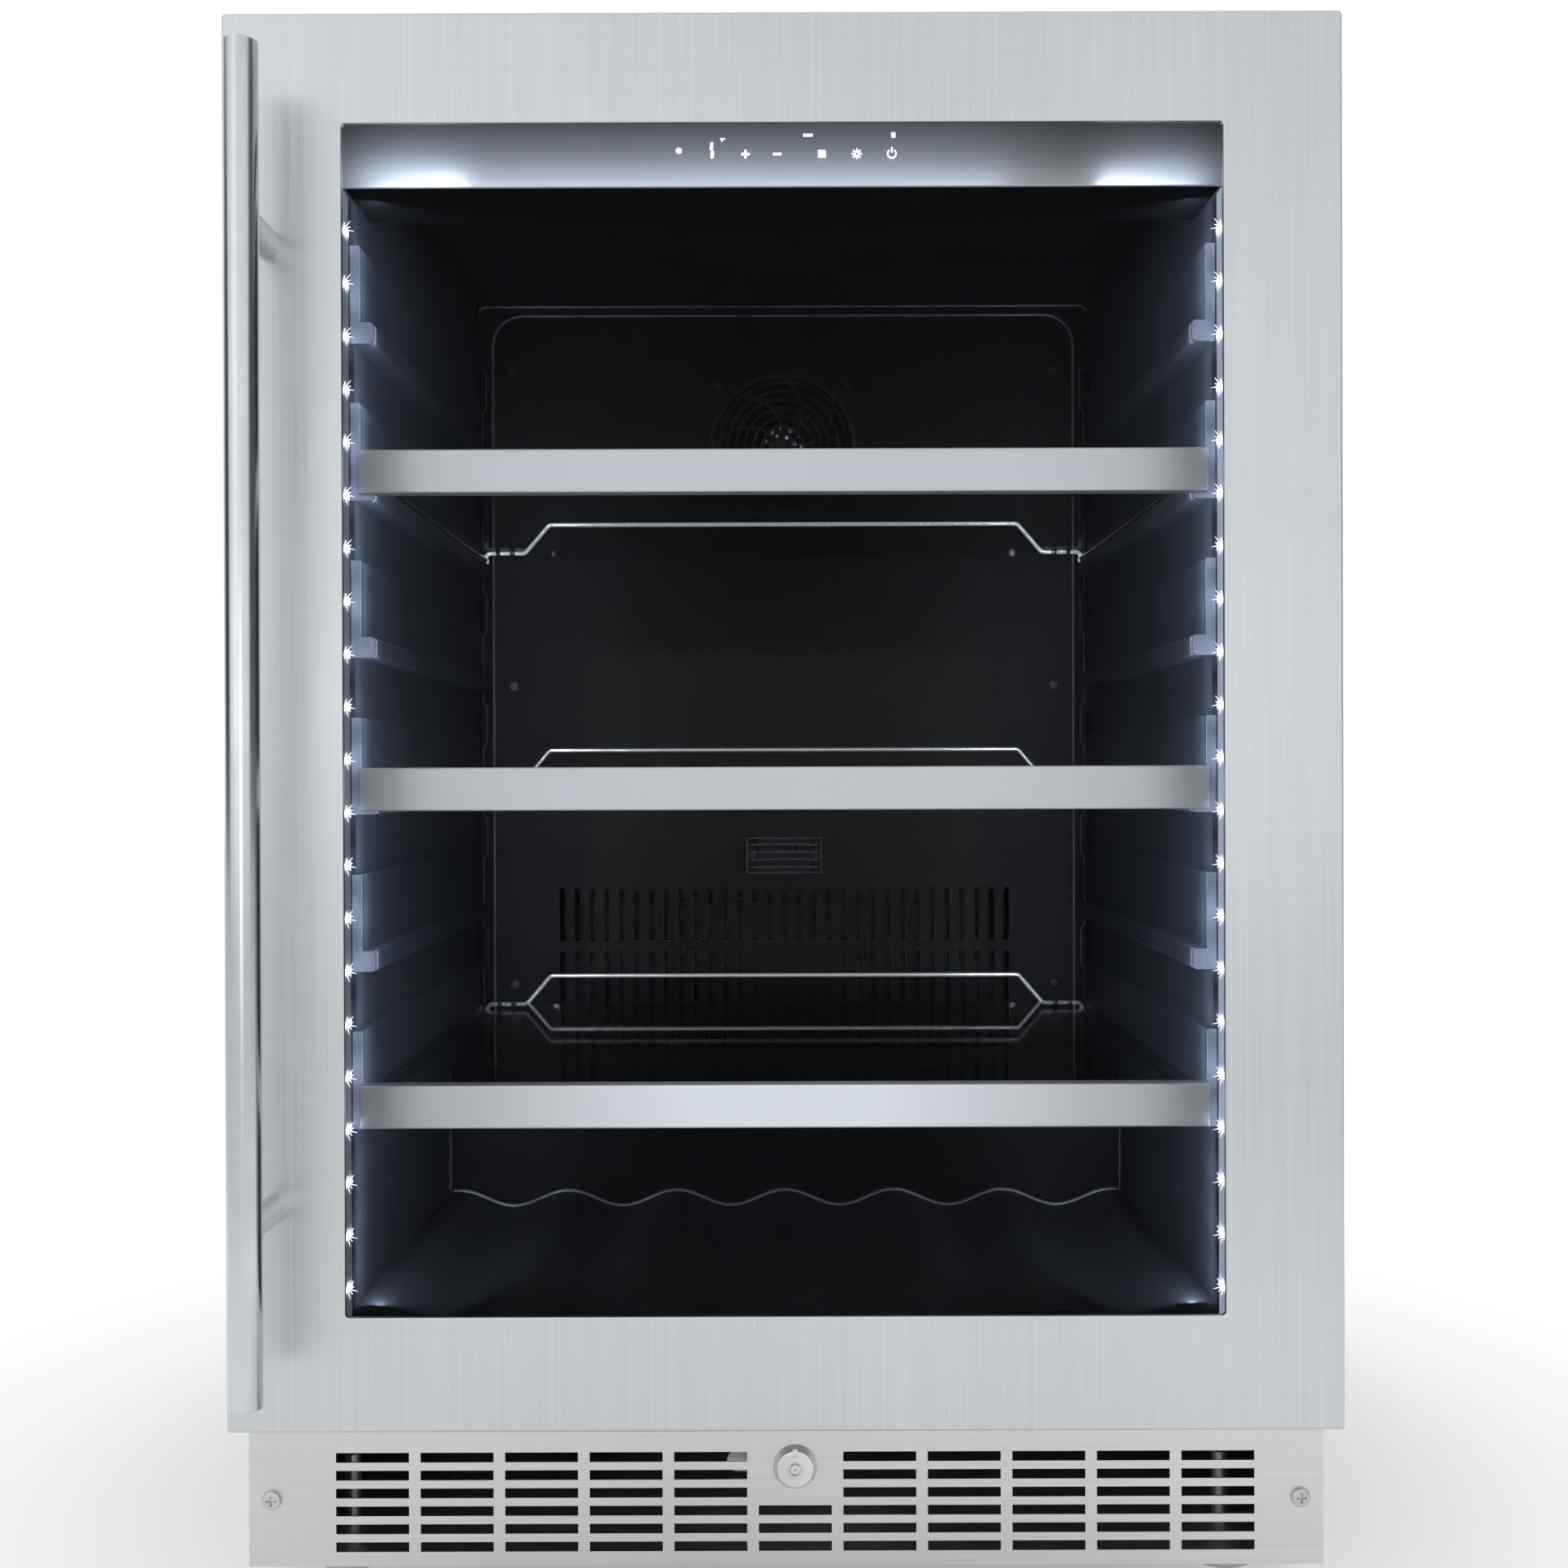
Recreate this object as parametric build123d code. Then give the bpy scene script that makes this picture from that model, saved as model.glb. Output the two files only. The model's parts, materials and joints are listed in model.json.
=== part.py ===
from build123d import *
import os
from math import cos, pi

# Built-in wine cooler with a right-hinged glass door, three pull-out glass shelves and a grille
# at the foot. Millimetres. X runs to the right, Y runs back, Z runs up, and the origin is on the
# floor under the middle of the whole cooler.

# Depths, front to back
DOOR_FRONT = -259.0
DOOR_THICK = 50.0
DOOR_BACK = DOOR_FRONT + DOOR_THICK
CABINET_FRONT = DOOR_BACK + 8.0
CABINET_BACK = 313.0
KICK_FRONT = DOOR_FRONT + 36.0

# Outside widths and heights
CABINET_HALF = 297.5
CABINET_TOP = 872.0
DOOR_HALF = 298.5
DOOR_BOTTOM = 109.0
DOOR_TOP = 866.0
PAN_BOTTOM = 22.0
PAN_TOP = 24.0
KICK_TOP = 101.0
SHEET = 1.0

# Cavity inside the liner
CAVITY_HALF = 250.0
FLOOR = 136.0
CEILING = 844.0
REAR_WALL = 252.6
REAR_CORNER_R = 6.0
HUMP_FRONT = 123.0
HUMP_TOP = 240.0
HUMP_NOSE_R = 14.0
LINER_WALL = 2.5
RECESS_HALF = 215.0
RECESS_LOW = 262.0
RECESS_HIGH = 815.0
RECESS_DEEP = 40.0
FLANGE_HALF = 280.0
FLANGE_LOW = 107.0
FLANGE_THICK = 2.0

# Machine space under and behind the cavity
DECK_TOP = 106.0
RISER = 163.0
REAR_DECK_TOP = 201.0

# Window and glass; a flare is its half width, its foot and its head
WINDOW_HALF = 235.0
WINDOW_LOW = 170.4
WINDOW_HIGH = 807.2
WINDOW_CORNER_R = 2.0
HEM_DEEP = 3.0
PANE_THICK = 4.0
PANE_GAP = 12.0
PANE_HALF = 246.0
PANE_LOW = 158.5
PANE_HIGH = 819.5
PANE_FRONT = DOOR_FRONT + HEM_DEEP
PANE_BACK = PANE_FRONT + 2 * PANE_THICK + PANE_GAP
SPACER_LIP = 1.0
SPACER_WIDE = 5.0
FLARE_NEAR = (241.0, 163.0, 816.3)
FLARE_FAR = (251.0, 154.0, 826.5)
GASKET_IN = (252.0, 134.0, 846.0)
GASKET_OUT = (268.0, 118.0, 862.0)

# Hinges
HINGE_X = 286.5
HINGE_Y = DOOR_FRONT + 22.0
PIN_R = 4.0
PIN_LONG = 13.5
BUSH_BORE_R = 4.05
BUSH_R = 7.0
BUSH_LONG = 14.0
HINGE_PLATE = 4.0
HINGE_POCKET = 5.0
HINGE_EYE_R = 10.0
TAB_LEFT = 281.0
TAB_RIGHT = 296.0
TAB_THICK = 3.0
TAB_HIGH = 42.0
HINGE_SCREW_R = 2.0
HINGE_SCREW_HEAD_R = 4.0
HINGE_SCREWS = [(288.5, z) for z in (DOOR_BOTTOM + 18, DOOR_BOTTOM + 33, DOOR_TOP - 33, DOOR_TOP - 18)]

# Handle
HANDLE_X = -275.0
HANDLE_Y = DOOR_FRONT - 45.0
HANDLE_R = 9.0
HANDLE_LOW = 138.3
HANDLE_HIGH = 832.8
POST_R = 8.0
POST_HEIGHTS = (228.5, 743.0)
STUD_R = 2.5
STUD_LONG = 16.0

# Kick plate and lock
KICK_SHEET = 1.2
KICK_SCREW_X = 284.5
KICK_SCREW_Z = 59.2
KICK_SCREW_R = 2.0
KICK_HEAD_R = 5.25
VENT_COLUMNS = 11
VENT_PITCH = 46.8
VENT_WIDE = 40.4
VENT_ROWS = 6
VENT_TOP_ROW = 82.2
VENT_ROW_PITCH = 9.9
VENT_HIGH = 5.4
LOCK_X = 5.0
LOCK_Z = 76.7
LOCK_RING_R = 12.25
LOCK_NOSE_R = 10.0
LOCK_PROUD = 5.0
BARREL_R = 9.0
PLUG_R = 5.0
PLUG_BORE_R = 5.05
KEYWAY_R = 3.75
KEYWAY_PIN_R = 2.4
CAM_NEAR = -214.0
CAM_THICK = 3.0
CAM_REACH = 38.0
CAM_HALF_WIDE = 6.0
CAM_BOLT_R = 3.0
STRIKE_LEFT = LOCK_X - 28
STRIKE_RIGHT = LOCK_X + 10
STRIKE_NEAR = -217.5
STRIKE_TOP = 119.5

# Shelves and the ledges that carry them
SHELVES = {"top": 634.0, "middle": 452.0, "bottom": 270.0}
SHELF_FRONT = -189.0
TRIM_HALF = 243.5
TRIM_HIGH = 25.0
TRIM_DEEP = 11.0
SHELF_GLASS_HALF = 242.5
SHELF_GLASS_THICK = 5.0
SHELF_GLASS_BACK = 232.0
SIDE_ROD_X = 240.5
SIDE_ROD_R = 2.5
GUARD_R = 1.6
GUARD_Y = 235.8
LEDGE_PITCH = 91.0
LEDGE_COUNT = 6
LEDGE_BELOW_SHELF = 2.85
LEDGE_FOOT_HIGH = 11.7
LEDGE_HIGH = 56.0
LEDGE_IN = 237.0
LEDGE_RIB_IN = 245.0
LEDGE_FRONT = DOOR_FRONT + 85.0
LEDGE_BACK = 231.0
CAP_THICK = 3.0

# Light strips
STRIP_NEAR = DOOR_FRONT + 60.0
STRIP_FAR = DOOR_FRONT + 72.0
STRIP_IN = 248.6
CHIP_IN = 247.4
CHIP_SIZE = 5.0
CHIP_FIRST = 169.0
CHIP_PITCH = 30.0
CHIP_COUNT = 21

# Controls
FASCIA_FRONT = DOOR_FRONT + 60.0
FASCIA_LOW = 792.5
FASCIA_THICK = 2.0
FASCIA_HALF = 249.0
HOUSING_BACK = -120.0
HOUSING_WALL = 2.0

# Rear cover of the cavity, its fan and its temperature sensor
COVER_FRONT = 243.0
COVER_HALF = 236.5
COVER_LOW = 240.5
COVER_HIGH = 834.7
COVER_CORNER_R = 28.0
COVER_WALL = 2.0
FAN_Z = 727.0
FAN_R = 50.0
GRILLE_R = 59.3
GRILLE_RINGS = (17.0, 24.0, 31.0, 38.0, 45.0, 52.0)
SLOT_COUNT = 31
SLOT_PITCH = 12.0
SLOT_WIDE = 4.6
SLOT_ROWS = ((326.4, 369.2), (276.3, 317.8))
SENSOR_Z = 395.6
SENSOR_HALF = 21.5
SENSOR_HIGH = 30.0
SENSOR_PROUD = 5.0
COVER_SCREWS = [(side * 218.7, z) for side in (-1, 1) for z in (788.9, 533.0, 291.5)]
GRILLE_SCREWS = [(-52.0, 776.4), (52.0, 776.4)]
SENSOR_SCREWS = [(-26.0, SENSOR_Z), (26.0, SENSOR_Z)]
COVER_SCREW_R = 1.8

# Bottle cradle
WAVE_PITCH = 80.4
WAVE_LOW = 141.0
WAVE_HIGH = 152.3
CRADLE_HALF = 249.5
CRADLE_FRONT = -185.0
CRADLE_BACK = 116.5

# Legs
LEGS = {"front_left": (-255.0, -160.0), "front_right": (255.0, -160.0),
        "rear_left": (-255.0, 270.0), "rear_right": (255.0, 270.0)}
LEG_R = 5.0
LEG_HOLE_R = 5.3
LEG_TOP = 62.0
FOOT_R = 20.0
FOOT_HIGH = 8.0
NUT_R = 10.0
NUT_HIGH = 7.7

# Refrigeration parts
MACHINE_Y = 238.0
COMPRESSOR_X = 130.0
COMPRESSOR_R = 60.0
COMPRESSOR_LOW = 43.0
COMPRESSOR_HIGH = 172.0
MOUNT_X = 58.0
MOUNT_Y = 46.0
MOUNT_R = 11.0
BLOWER_LEFT = -40.0
BLOWER_RIGHT = -15.0
BLOWER_Z = 98.0
BLOWER_R = 53.0
BLOWER_HALF = 62.0
SHAFT_R = 2.0
SHAFT_BORE_R = 2.05
LINE_R = 3.0
LINE_HOLE_R = 3.5
RISERS = ((-150.0, 275.0), (60.0, 275.0))
COVER_BACK = CABINET_BACK - SHEET
INLET_X = -230.0
INLET_Z = 70.0


def box(x0, x1, y0, y1, z0, z1):
    """Block between two opposite corners."""
    return Pos((x0 + x1) / 2, (y0 + y1) / 2, (z0 + z1) / 2) * Box(x1 - x0, y1 - y0, z1 - z0)


def pair(x0, x1, y0, y1, z0, z1):
    """Block on the right and its mirror image on the left."""
    return [box(x0, x1, y0, y1, z0, z1), box(-x1, -x0, y0, y1, z0, z1)]


def rod_x(radius, x0, x1, y, z):
    return Pos((x0 + x1) / 2, y, z) * Rot(0, 90, 0) * Cylinder(radius, x1 - x0)


def rod_y(radius, y0, y1, x, z):
    return Pos(x, (y0 + y1) / 2, z) * Rot(90, 0, 0) * Cylinder(radius, y1 - y0)


def rod_z(radius, z0, z1, x, y):
    return Pos(x, y, (z0 + z1) / 2) * Cylinder(radius, z1 - z0)


def slab_x(sketch, x0, x1):
    """Solid of a sketch drawn in y and z, from x0 across to x1."""
    plane = Plane(origin=(x0, 0, 0), x_dir=(0, 1, 0), z_dir=(1, 0, 0))
    return extrude(plane * sketch, amount=x1 - x0)


def slab_y(sketch, y0, y1):
    """Solid of a sketch drawn in x and z, from y0 back to y1."""
    plane = Plane(origin=(0, y1, 0), x_dir=(1, 0, 0), z_dir=(0, -1, 0))
    return extrude(plane * sketch, amount=y1 - y0)


def outline(*points):
    """Flat face inside a closed run of straight lines."""
    return make_face(Polyline(*points, points[0]))


def panel(half, low, high, corner=0.0):
    """Upright rectangle, centred left to right, with round corners if asked."""
    if corner:
        return Pos(0, (low + high) / 2) * RectangleRounded(2 * half, high - low, corner)
    return Pos(0, (low + high) / 2) * Rectangle(2 * half, high - low)


def hexagon_y(radius, y0, y1, x, z):
    return slab_y(Pos(x, z) * RegularPolygon(radius, 6), y0, y1)


def screw(x, z, seat, head_r, head_high, shank_r, shank_long):
    """Round-headed screw driven straight back, with a cross recess in its head."""
    front = seat - head_high
    head = rod_y(head_r, front, seat, x, z)
    head = fillet(head.edges().filter_by(GeomType.CIRCLE).sort_by(Axis.Y)[0], head_high * 0.45)
    arm, slit, bottom = head_r * 0.55, head_r * 0.14, front + head_high * 0.55
    head -= box(x - arm, x + arm, front - 1, bottom, z - slit, z + slit)
    head -= box(x - slit, x + slit, front - 1, bottom, z - arm, z + arm)
    return head + rod_y(shank_r, seat, seat + shank_long, x, z)


def together(shapes):
    """Separate solids kept side by side as one group."""
    return Compound(children=[solid for shape in shapes for solid in shape.solids()])


def tube(points, radius, bend):
    """Round bar or pipe along straight runs joined by bends."""
    path = FilletPolyline(*points, radius=bend)
    return sweep(Plane(origin=path @ 0, z_dir=path % 0) * Circle(radius), path=path)


# ---- Cabinet


def cabinet_shell():
    """Top and sides folded from one sheet, with a narrow return round the front."""
    inside = CABINET_HALF - SHEET
    wrap = box(-CABINET_HALF, CABINET_HALF, CABINET_FRONT, CABINET_BACK, PAN_BOTTOM, CABINET_TOP)
    wrap -= box(-inside, inside, CABINET_FRONT + SHEET, CABINET_BACK + 1,
                PAN_BOTTOM - 1, CABINET_TOP - SHEET)
    wrap -= box(-FLANGE_HALF, FLANGE_HALF, CABINET_FRONT - 1, CABINET_FRONT + 2 * SHEET,
                PAN_BOTTOM - 1, DOOR_TOP)
    wrap -= box(-inside, inside, CABINET_FRONT - 1, CABINET_FRONT + 2 * SHEET,
                PAN_BOTTOM - 1, PAN_TOP)
    holes = [rod_y(HINGE_SCREW_R + 0.2, CABINET_FRONT - 1, CABINET_FRONT + 2, x, z)
             for x, z in HINGE_SCREWS]
    return wrap - holes


def cabinet_back_panel():
    """Flat back sheet above the machine space, with four pressed grooves."""
    sheet = box(-CABINET_HALF + SHEET, CABINET_HALF - SHEET, COVER_BACK, CABINET_BACK,
                REAR_DECK_TOP - SHEET, CABINET_TOP - SHEET)
    grooves = [box(x - 12, x + 12, CABINET_BACK - SHEET / 2, CABINET_BACK + 1, 260, 810)
               for x in (-180.0, -60.0, 60.0, 180.0)]
    return sheet - grooves


def machine_deck():
    """Stepped sheet between the insulated cavity and the machine space."""
    inside = CABINET_HALF - SHEET
    under = DECK_TOP - SHEET
    deck = box(-inside, inside, CABINET_FRONT + SHEET, RISER + SHEET, under, DECK_TOP)
    deck += box(-inside, inside, RISER, RISER + SHEET, under, REAR_DECK_TOP)
    deck += box(-inside, inside, RISER, COVER_BACK, REAR_DECK_TOP - SHEET, REAR_DECK_TOP)
    return deck - [rod_z(LINE_HOLE_R, REAR_DECK_TOP - 5, REAR_DECK_TOP + 5, x, y) for x, y in RISERS]


def base_pan():
    """Bottom sheet with weld nuts for the legs and two tabs that hold the kick plate."""
    front = KICK_FRONT + KICK_SHEET
    wide = CABINET_HALF - KICK_SHEET
    pan = box(-wide, wide, front, COVER_BACK - SHEET, PAN_BOTTOM, PAN_TOP)
    pan += pair(276, 293, front, front + 2, PAN_TOP, KICK_SCREW_Z + 14)
    pan += [Pos(x, y, PAN_BOTTOM - NUT_HIGH) * extrude(RegularPolygon(NUT_R, 6), NUT_HIGH)
            for x, y in LEGS.values()]
    pan -= [rod_z(LEG_HOLE_R, 0, PAN_TOP + 1, x, y) for x, y in LEGS.values()]
    return pan - [rod_y(KICK_SCREW_R + 0.2, front - 1, front + 3, side * KICK_SCREW_X, KICK_SCREW_Z)
                  for side in (-1, 1)]


def liner_envelope(grow):
    """Space inside the liner, or the outside of its walls when grown by their thickness."""
    near = HUMP_FRONT + grow
    hump = HUMP_TOP - grow
    profile = outline((CABINET_FRONT, FLOOR - grow), (near, FLOOR - grow), (near, hump),
                      (REAR_WALL + grow, hump), (REAR_WALL + grow, CEILING + grow),
                      (CABINET_FRONT, CEILING + grow))
    nose = profile.vertices().sort_by_distance((near, hump, 0))[0]
    profile = fillet(nose, HUMP_NOSE_R - grow)
    block = slab_x(profile, -CAVITY_HALF - grow, CAVITY_HALF + grow)
    block = fillet(block.edges().filter_by(Axis.Z).sort_by(Axis.Y)[-2:], REAR_CORNER_R + grow)
    wide = RECESS_HALF + grow
    return block + box(-wide, wide, REAR_WALL - 1, REAR_WALL + RECESS_DEEP + grow,
                       RECESS_LOW - grow, RECESS_HIGH + grow)


def foam_insulation():
    """Foam that fills the space between the liner and the outer sheets."""
    front = CABINET_FRONT + FLANGE_THICK
    profile = outline((front, DECK_TOP), (RISER, DECK_TOP), (RISER, REAR_DECK_TOP),
                      (COVER_BACK, REAR_DECK_TOP), (COVER_BACK, CABINET_TOP - SHEET),
                      (front, CABINET_TOP - SHEET))
    foam = slab_x(profile, -CABINET_HALF + SHEET, CABINET_HALF - SHEET) - liner_envelope(LINER_WALL)
    return foam - [rod_z(LINE_HOLE_R, REAR_DECK_TOP - 1, RECESS_LOW, x, y) for x, y in RISERS]


def inner_liner():
    """Moulded tub with a hump at the back foot, a recess in the rear wall and a front flange."""
    tub = liner_envelope(LINER_WALL)
    tub += box(-FLANGE_HALF, FLANGE_HALF, CABINET_FRONT, CABINET_FRONT + FLANGE_THICK,
               FLANGE_LOW, DOOR_TOP)
    tub -= liner_envelope(0.0)
    return tub - [rod_z(LINE_HOLE_R, RECESS_LOW - 5, RECESS_LOW + 1, x, y) for x, y in RISERS]


def bottle_cradle():
    """Floor plate with six troughs that hold bottles lying front to back."""
    steps = 72
    middle = (WAVE_LOW + WAVE_HIGH) / 2
    swing = (WAVE_HIGH - WAVE_LOW) / 2
    places = [CRADLE_HALF * (2 * step / steps - 1) for step in range(steps + 1)]
    wave = [(x, middle + swing * cos(2 * pi * x / WAVE_PITCH)) for x in places]
    left, right = wave[0], wave[-1]
    edges = Spline(*wave) + Polyline(right, (CRADLE_HALF, FLOOR), (-CRADLE_HALF, FLOOR), left)
    return slab_y(make_face(edges), CRADLE_FRONT, CRADLE_BACK)


# ---- Ledges and lights


def ledge_heights():
    """Foot of each ledge; every second one carries a shelf."""
    lowest = SHELVES["bottom"] - LEDGE_BELOW_SHELF - LEDGE_FOOT_HIGH
    return [lowest + LEDGE_PITCH * step for step in range(LEDGE_COUNT)]


def ledge(y0, y1, z):
    """Right-hand ledge with an L section: a rib on the wall and a foot that reaches in."""
    foot = box(LEDGE_IN, CAVITY_HALF, y0, y1, z, z + LEDGE_FOOT_HIGH)
    rib = box(LEDGE_RIB_IN, CAVITY_HALF, y0, y1, z, z + LEDGE_HIGH)
    section = foot + rib
    return fillet(section.edges().filter_by(Axis.Y).sort_by(Axis.X)[:2], 2.0)


def shelf_rail_right():
    """Six ledges moulded on one backing strip."""
    heights = ledge_heights()
    rail = box(CAVITY_HALF - 1, CAVITY_HALF, LEDGE_FRONT, LEDGE_BACK,
               heights[0] - 4, heights[-1] + LEDGE_HIGH + 4)
    return rail + [ledge(LEDGE_FRONT, LEDGE_BACK, z) for z in heights]


def shelf_rail_left():
    return mirror(shelf_rail_right(), about=Plane.YZ)


def rail_end_caps():
    """Clear caps on the front ends of the ledges."""
    right = [ledge(LEDGE_FRONT - CAP_THICK, LEDGE_FRONT, z) for z in ledge_heights()]
    return together(right + [mirror(cap, about=Plane.YZ) for cap in right])


def led_channels():
    """Thin circuit strips down both sides of the opening."""
    return together(pair(STRIP_IN, CAVITY_HALF, STRIP_NEAR, STRIP_FAR, FLOOR + 4, FASCIA_LOW - 1))


def led_chips():
    """Light emitters, evenly spaced on both strips."""
    middle = (STRIP_NEAR + STRIP_FAR) / 2
    half = CHIP_SIZE / 2
    heights = [CHIP_FIRST + CHIP_PITCH * step for step in range(CHIP_COUNT)]
    return together([chip for z in heights
                     for chip in pair(CHIP_IN, STRIP_IN, middle - half, middle + half,
                                      z - half, z + half)])


# ---- Controls


def control_housing():
    """Box under the ceiling, open at the front, that holds the control board."""
    front = FASCIA_FRONT + FASCIA_THICK
    low = FASCIA_LOW + 1.5
    shell = box(-FASCIA_HALF, FASCIA_HALF, front, HOUSING_BACK, low, CEILING)
    lower_back = shell.edges().filter_by(Axis.X).sort_by(Axis.Z)[:2].sort_by(Axis.Y)[-1]
    shell = fillet(lower_back, 12.0)
    return shell - box(-FASCIA_HALF + HOUSING_WALL, FASCIA_HALF - HOUSING_WALL, front - 1,
                       HOUSING_BACK - 14, low + HOUSING_WALL, CEILING - HOUSING_WALL)


def control_fascia():
    """Steel strip that faces the door, with touch keys behind it."""
    strip = box(-FASCIA_HALF, FASCIA_HALF, FASCIA_FRONT, FASCIA_FRONT + FASCIA_THICK,
                FASCIA_LOW, CEILING)
    foot = strip.edges().filter_by(Axis.X).sort_by(Axis.Z)[:2].sort_by(Axis.Y)[0]
    return fillet(foot, 0.8)


def control_board():
    """Circuit board on four standoffs behind the fascia, with its display block."""
    seat = FASCIA_FRONT + FASCIA_THICK
    board = box(-85, 85, seat + 7, seat + 8.6, 799, 838)
    board += [rod_y(3, seat, seat + 7, x, z) for x in (-78, 78) for z in (804, 833)]
    board += box(-70, 70, seat, seat + 7, 805, 826)
    return board + [box(x - 6, x + 6, seat + 8.6, seat + 14, 812, 828) for x in (-60, -20, 20, 60)]


# ---- Rear cover, fan and sensor


def cover_holes(places, seat):
    return [rod_y(COVER_SCREW_R + 0.1, seat - 1, seat + COVER_WALL + 1, x, z) for x, z in places]


def evaporator_cover():
    """Black panel over the evaporator, with a fan opening and two rows of slots."""
    shape = panel(COVER_HALF, COVER_LOW, COVER_HIGH)
    shape = fillet(shape.vertices().sort_by(Axis.Y)[-2:], COVER_CORNER_R)
    shell = slab_y(shape, COVER_FRONT, REAR_WALL)
    rim = shell.faces().sort_by(Axis.Y)[0].outer_wire().edges()
    shell = fillet(rim, 1.5)
    inner = panel(COVER_HALF - COVER_WALL, COVER_LOW + COVER_WALL, COVER_HIGH - COVER_WALL)
    inner = fillet(inner.vertices().sort_by(Axis.Y)[-2:], COVER_CORNER_R - COVER_WALL)
    shell -= slab_y(inner, COVER_FRONT + COVER_WALL, REAR_WALL + 1)
    shell -= rod_y(GRILLE_R + 0.2, COVER_FRONT - 1, REAR_WALL, 0, FAN_Z)
    first = -SLOT_PITCH * (SLOT_COUNT - 1) / 2
    slots = [box(x - SLOT_WIDE / 2, x + SLOT_WIDE / 2, COVER_FRONT - 1, REAR_WALL, low, high)
             for x in [first + SLOT_PITCH * step for step in range(SLOT_COUNT)]
             for low, high in SLOT_ROWS]
    return shell - slots - cover_holes(COVER_SCREWS + GRILLE_SCREWS + SENSOR_SCREWS, COVER_FRONT)


def cover_screws():
    """Screws that hold the rear cover, the fan grille and the sensor cover."""
    screws = [screw(x, z, COVER_FRONT, 4.0, 2.0, COVER_SCREW_R, 6) for x, z in COVER_SCREWS]
    screws += [screw(x, z, COVER_FRONT, 3.2, 1.6, COVER_SCREW_R, 6) for x, z in GRILLE_SCREWS]
    screws += [screw(x, z, COVER_FRONT - 2, 2.6, 1.2, COVER_SCREW_R, 6) for x, z in SENSOR_SCREWS]
    return together(screws)


def grille_rib(turn):
    """Curved rib from the middle of the grille out to its rim."""
    spots = [(15.0, turn), (36.0, turn + 20.0), (57.5, turn + 46.0)]
    arc = ThreePointArc(*[Vector(radius, 0).rotate(Axis.Z, angle) for radius, angle in spots])
    return trace(arc, 1.6)


def fan_grille():
    """Round guard of rings and curved ribs, set into the rear cover."""
    wire = 1.5
    rings = [Circle(radius + wire / 2) - Circle(radius - wire / 2) for radius in GRILLE_RINGS]
    face = Circle(GRILLE_R) - Circle(GRILLE_R - 3) + rings
    face += [grille_rib(turn) for turn in range(0, 360, 45)]
    return slab_y(Pos(0, FAN_Z) * face, COVER_FRONT - 1.5, COVER_FRONT + 1.5)


def blade(root, tip, chord, pitch):
    """One fan blade that reaches along X from its root, twisted about that line."""
    paddle = Pos((root + tip) / 2, 0, 0) * Rot(pitch, 0, 0) * Box(tip - root, chord, 1.6)
    return paddle & (Cylinder(tip, 60) - Cylinder(root - 3, 80))


def fan_wheel(radius, hub_r, hub_high, chord, blades, shaft):
    """Fan wheel about Z with its shaft pointing up."""
    wheel = Cylinder(hub_r, hub_high)
    wheel = fillet(wheel.edges().filter_by(GeomType.CIRCLE).sort_by(Axis.Z)[0], 3.0)
    wheel += [Rot(0, 0, 360 / blades * step) * blade(hub_r - 1, radius, chord, 32)
              for step in range(blades)]
    return wheel + Pos(0, 0, hub_high / 2 + shaft / 2) * Cylinder(SHAFT_R, shaft)


def evaporator_fan_rotor():
    wheel = fan_wheel(FAN_R, 17.0, 14.0, 24.0, 7, 8.0)
    return Pos(0, COVER_FRONT + 14, FAN_Z) * Rot(-90, 0, 0) * wheel


def evaporator_fan_motor():
    """Motor behind the wheel, carried by three arms on the recess wall."""
    near, back = COVER_FRONT + 23, REAR_WALL + RECESS_DEEP
    can = rod_y(20, near, back - 4, 0, FAN_Z) - rod_y(SHAFT_BORE_R, near - 1, near + 9, 0, FAN_Z)
    plate = rod_y(30, back - 4, back, 0, FAN_Z)
    arms = [Pos(0, 0, FAN_Z) * Rot(0, turn, 0) * box(0, 56, back - 4, back, -6, 6)
            for turn in (30, 150, 270)]
    return can + plate + arms


def sensor_cover():
    """Small louvred box over the temperature sensor, with an ear at each side."""
    half, high = SENSOR_HALF, SENSOR_HIGH / 2
    near = COVER_FRONT - SENSOR_PROUD
    lid = box(-half, half, near, COVER_FRONT, SENSOR_Z - high, SENSOR_Z + high)
    lid = fillet(lid.edges().filter_by(Axis.Y), 4.0)
    lid = fillet(lid.faces().sort_by(Axis.Y)[0].edges(), 1.5)
    lid += [rod_y(5, COVER_FRONT - 2, COVER_FRONT, x, z) for x, z in SENSOR_SCREWS]
    lid -= [box(x - 1, x + 1, near - 1, near + 2, SENSOR_Z + low, SENSOR_Z + low + 8)
            for x in range(-15, 18, 5) for low in (-10, 2)]
    lid -= box(-half + 2, half - 2, near + 2, COVER_FRONT + 1, SENSOR_Z - high + 2, SENSOR_Z + high - 2)
    return lid - [rod_y(COVER_SCREW_R + 0.1, near, COVER_FRONT + 1, x, z) for x, z in SENSOR_SCREWS]


def evaporator_coil():
    """Finned tube block in the recess, below the fan."""
    near, back = REAR_WALL + 8, REAR_WALL + RECESS_DEEP - 4
    fins = [box(x - 0.4, x + 0.4, near, back, 306, 634) for x in range(-176, 177, 16)]
    tubes = [rod_x(4, -184, 184, (near + back) / 2, 322 + 37 * row) for row in range(9)]
    ends = pair(184, 190, near + 6, back - 6, 312, 628)
    return Compound(children=[(fins[0] + fins[1:] + tubes + ends).solid()])


# ---- Machine space


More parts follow.
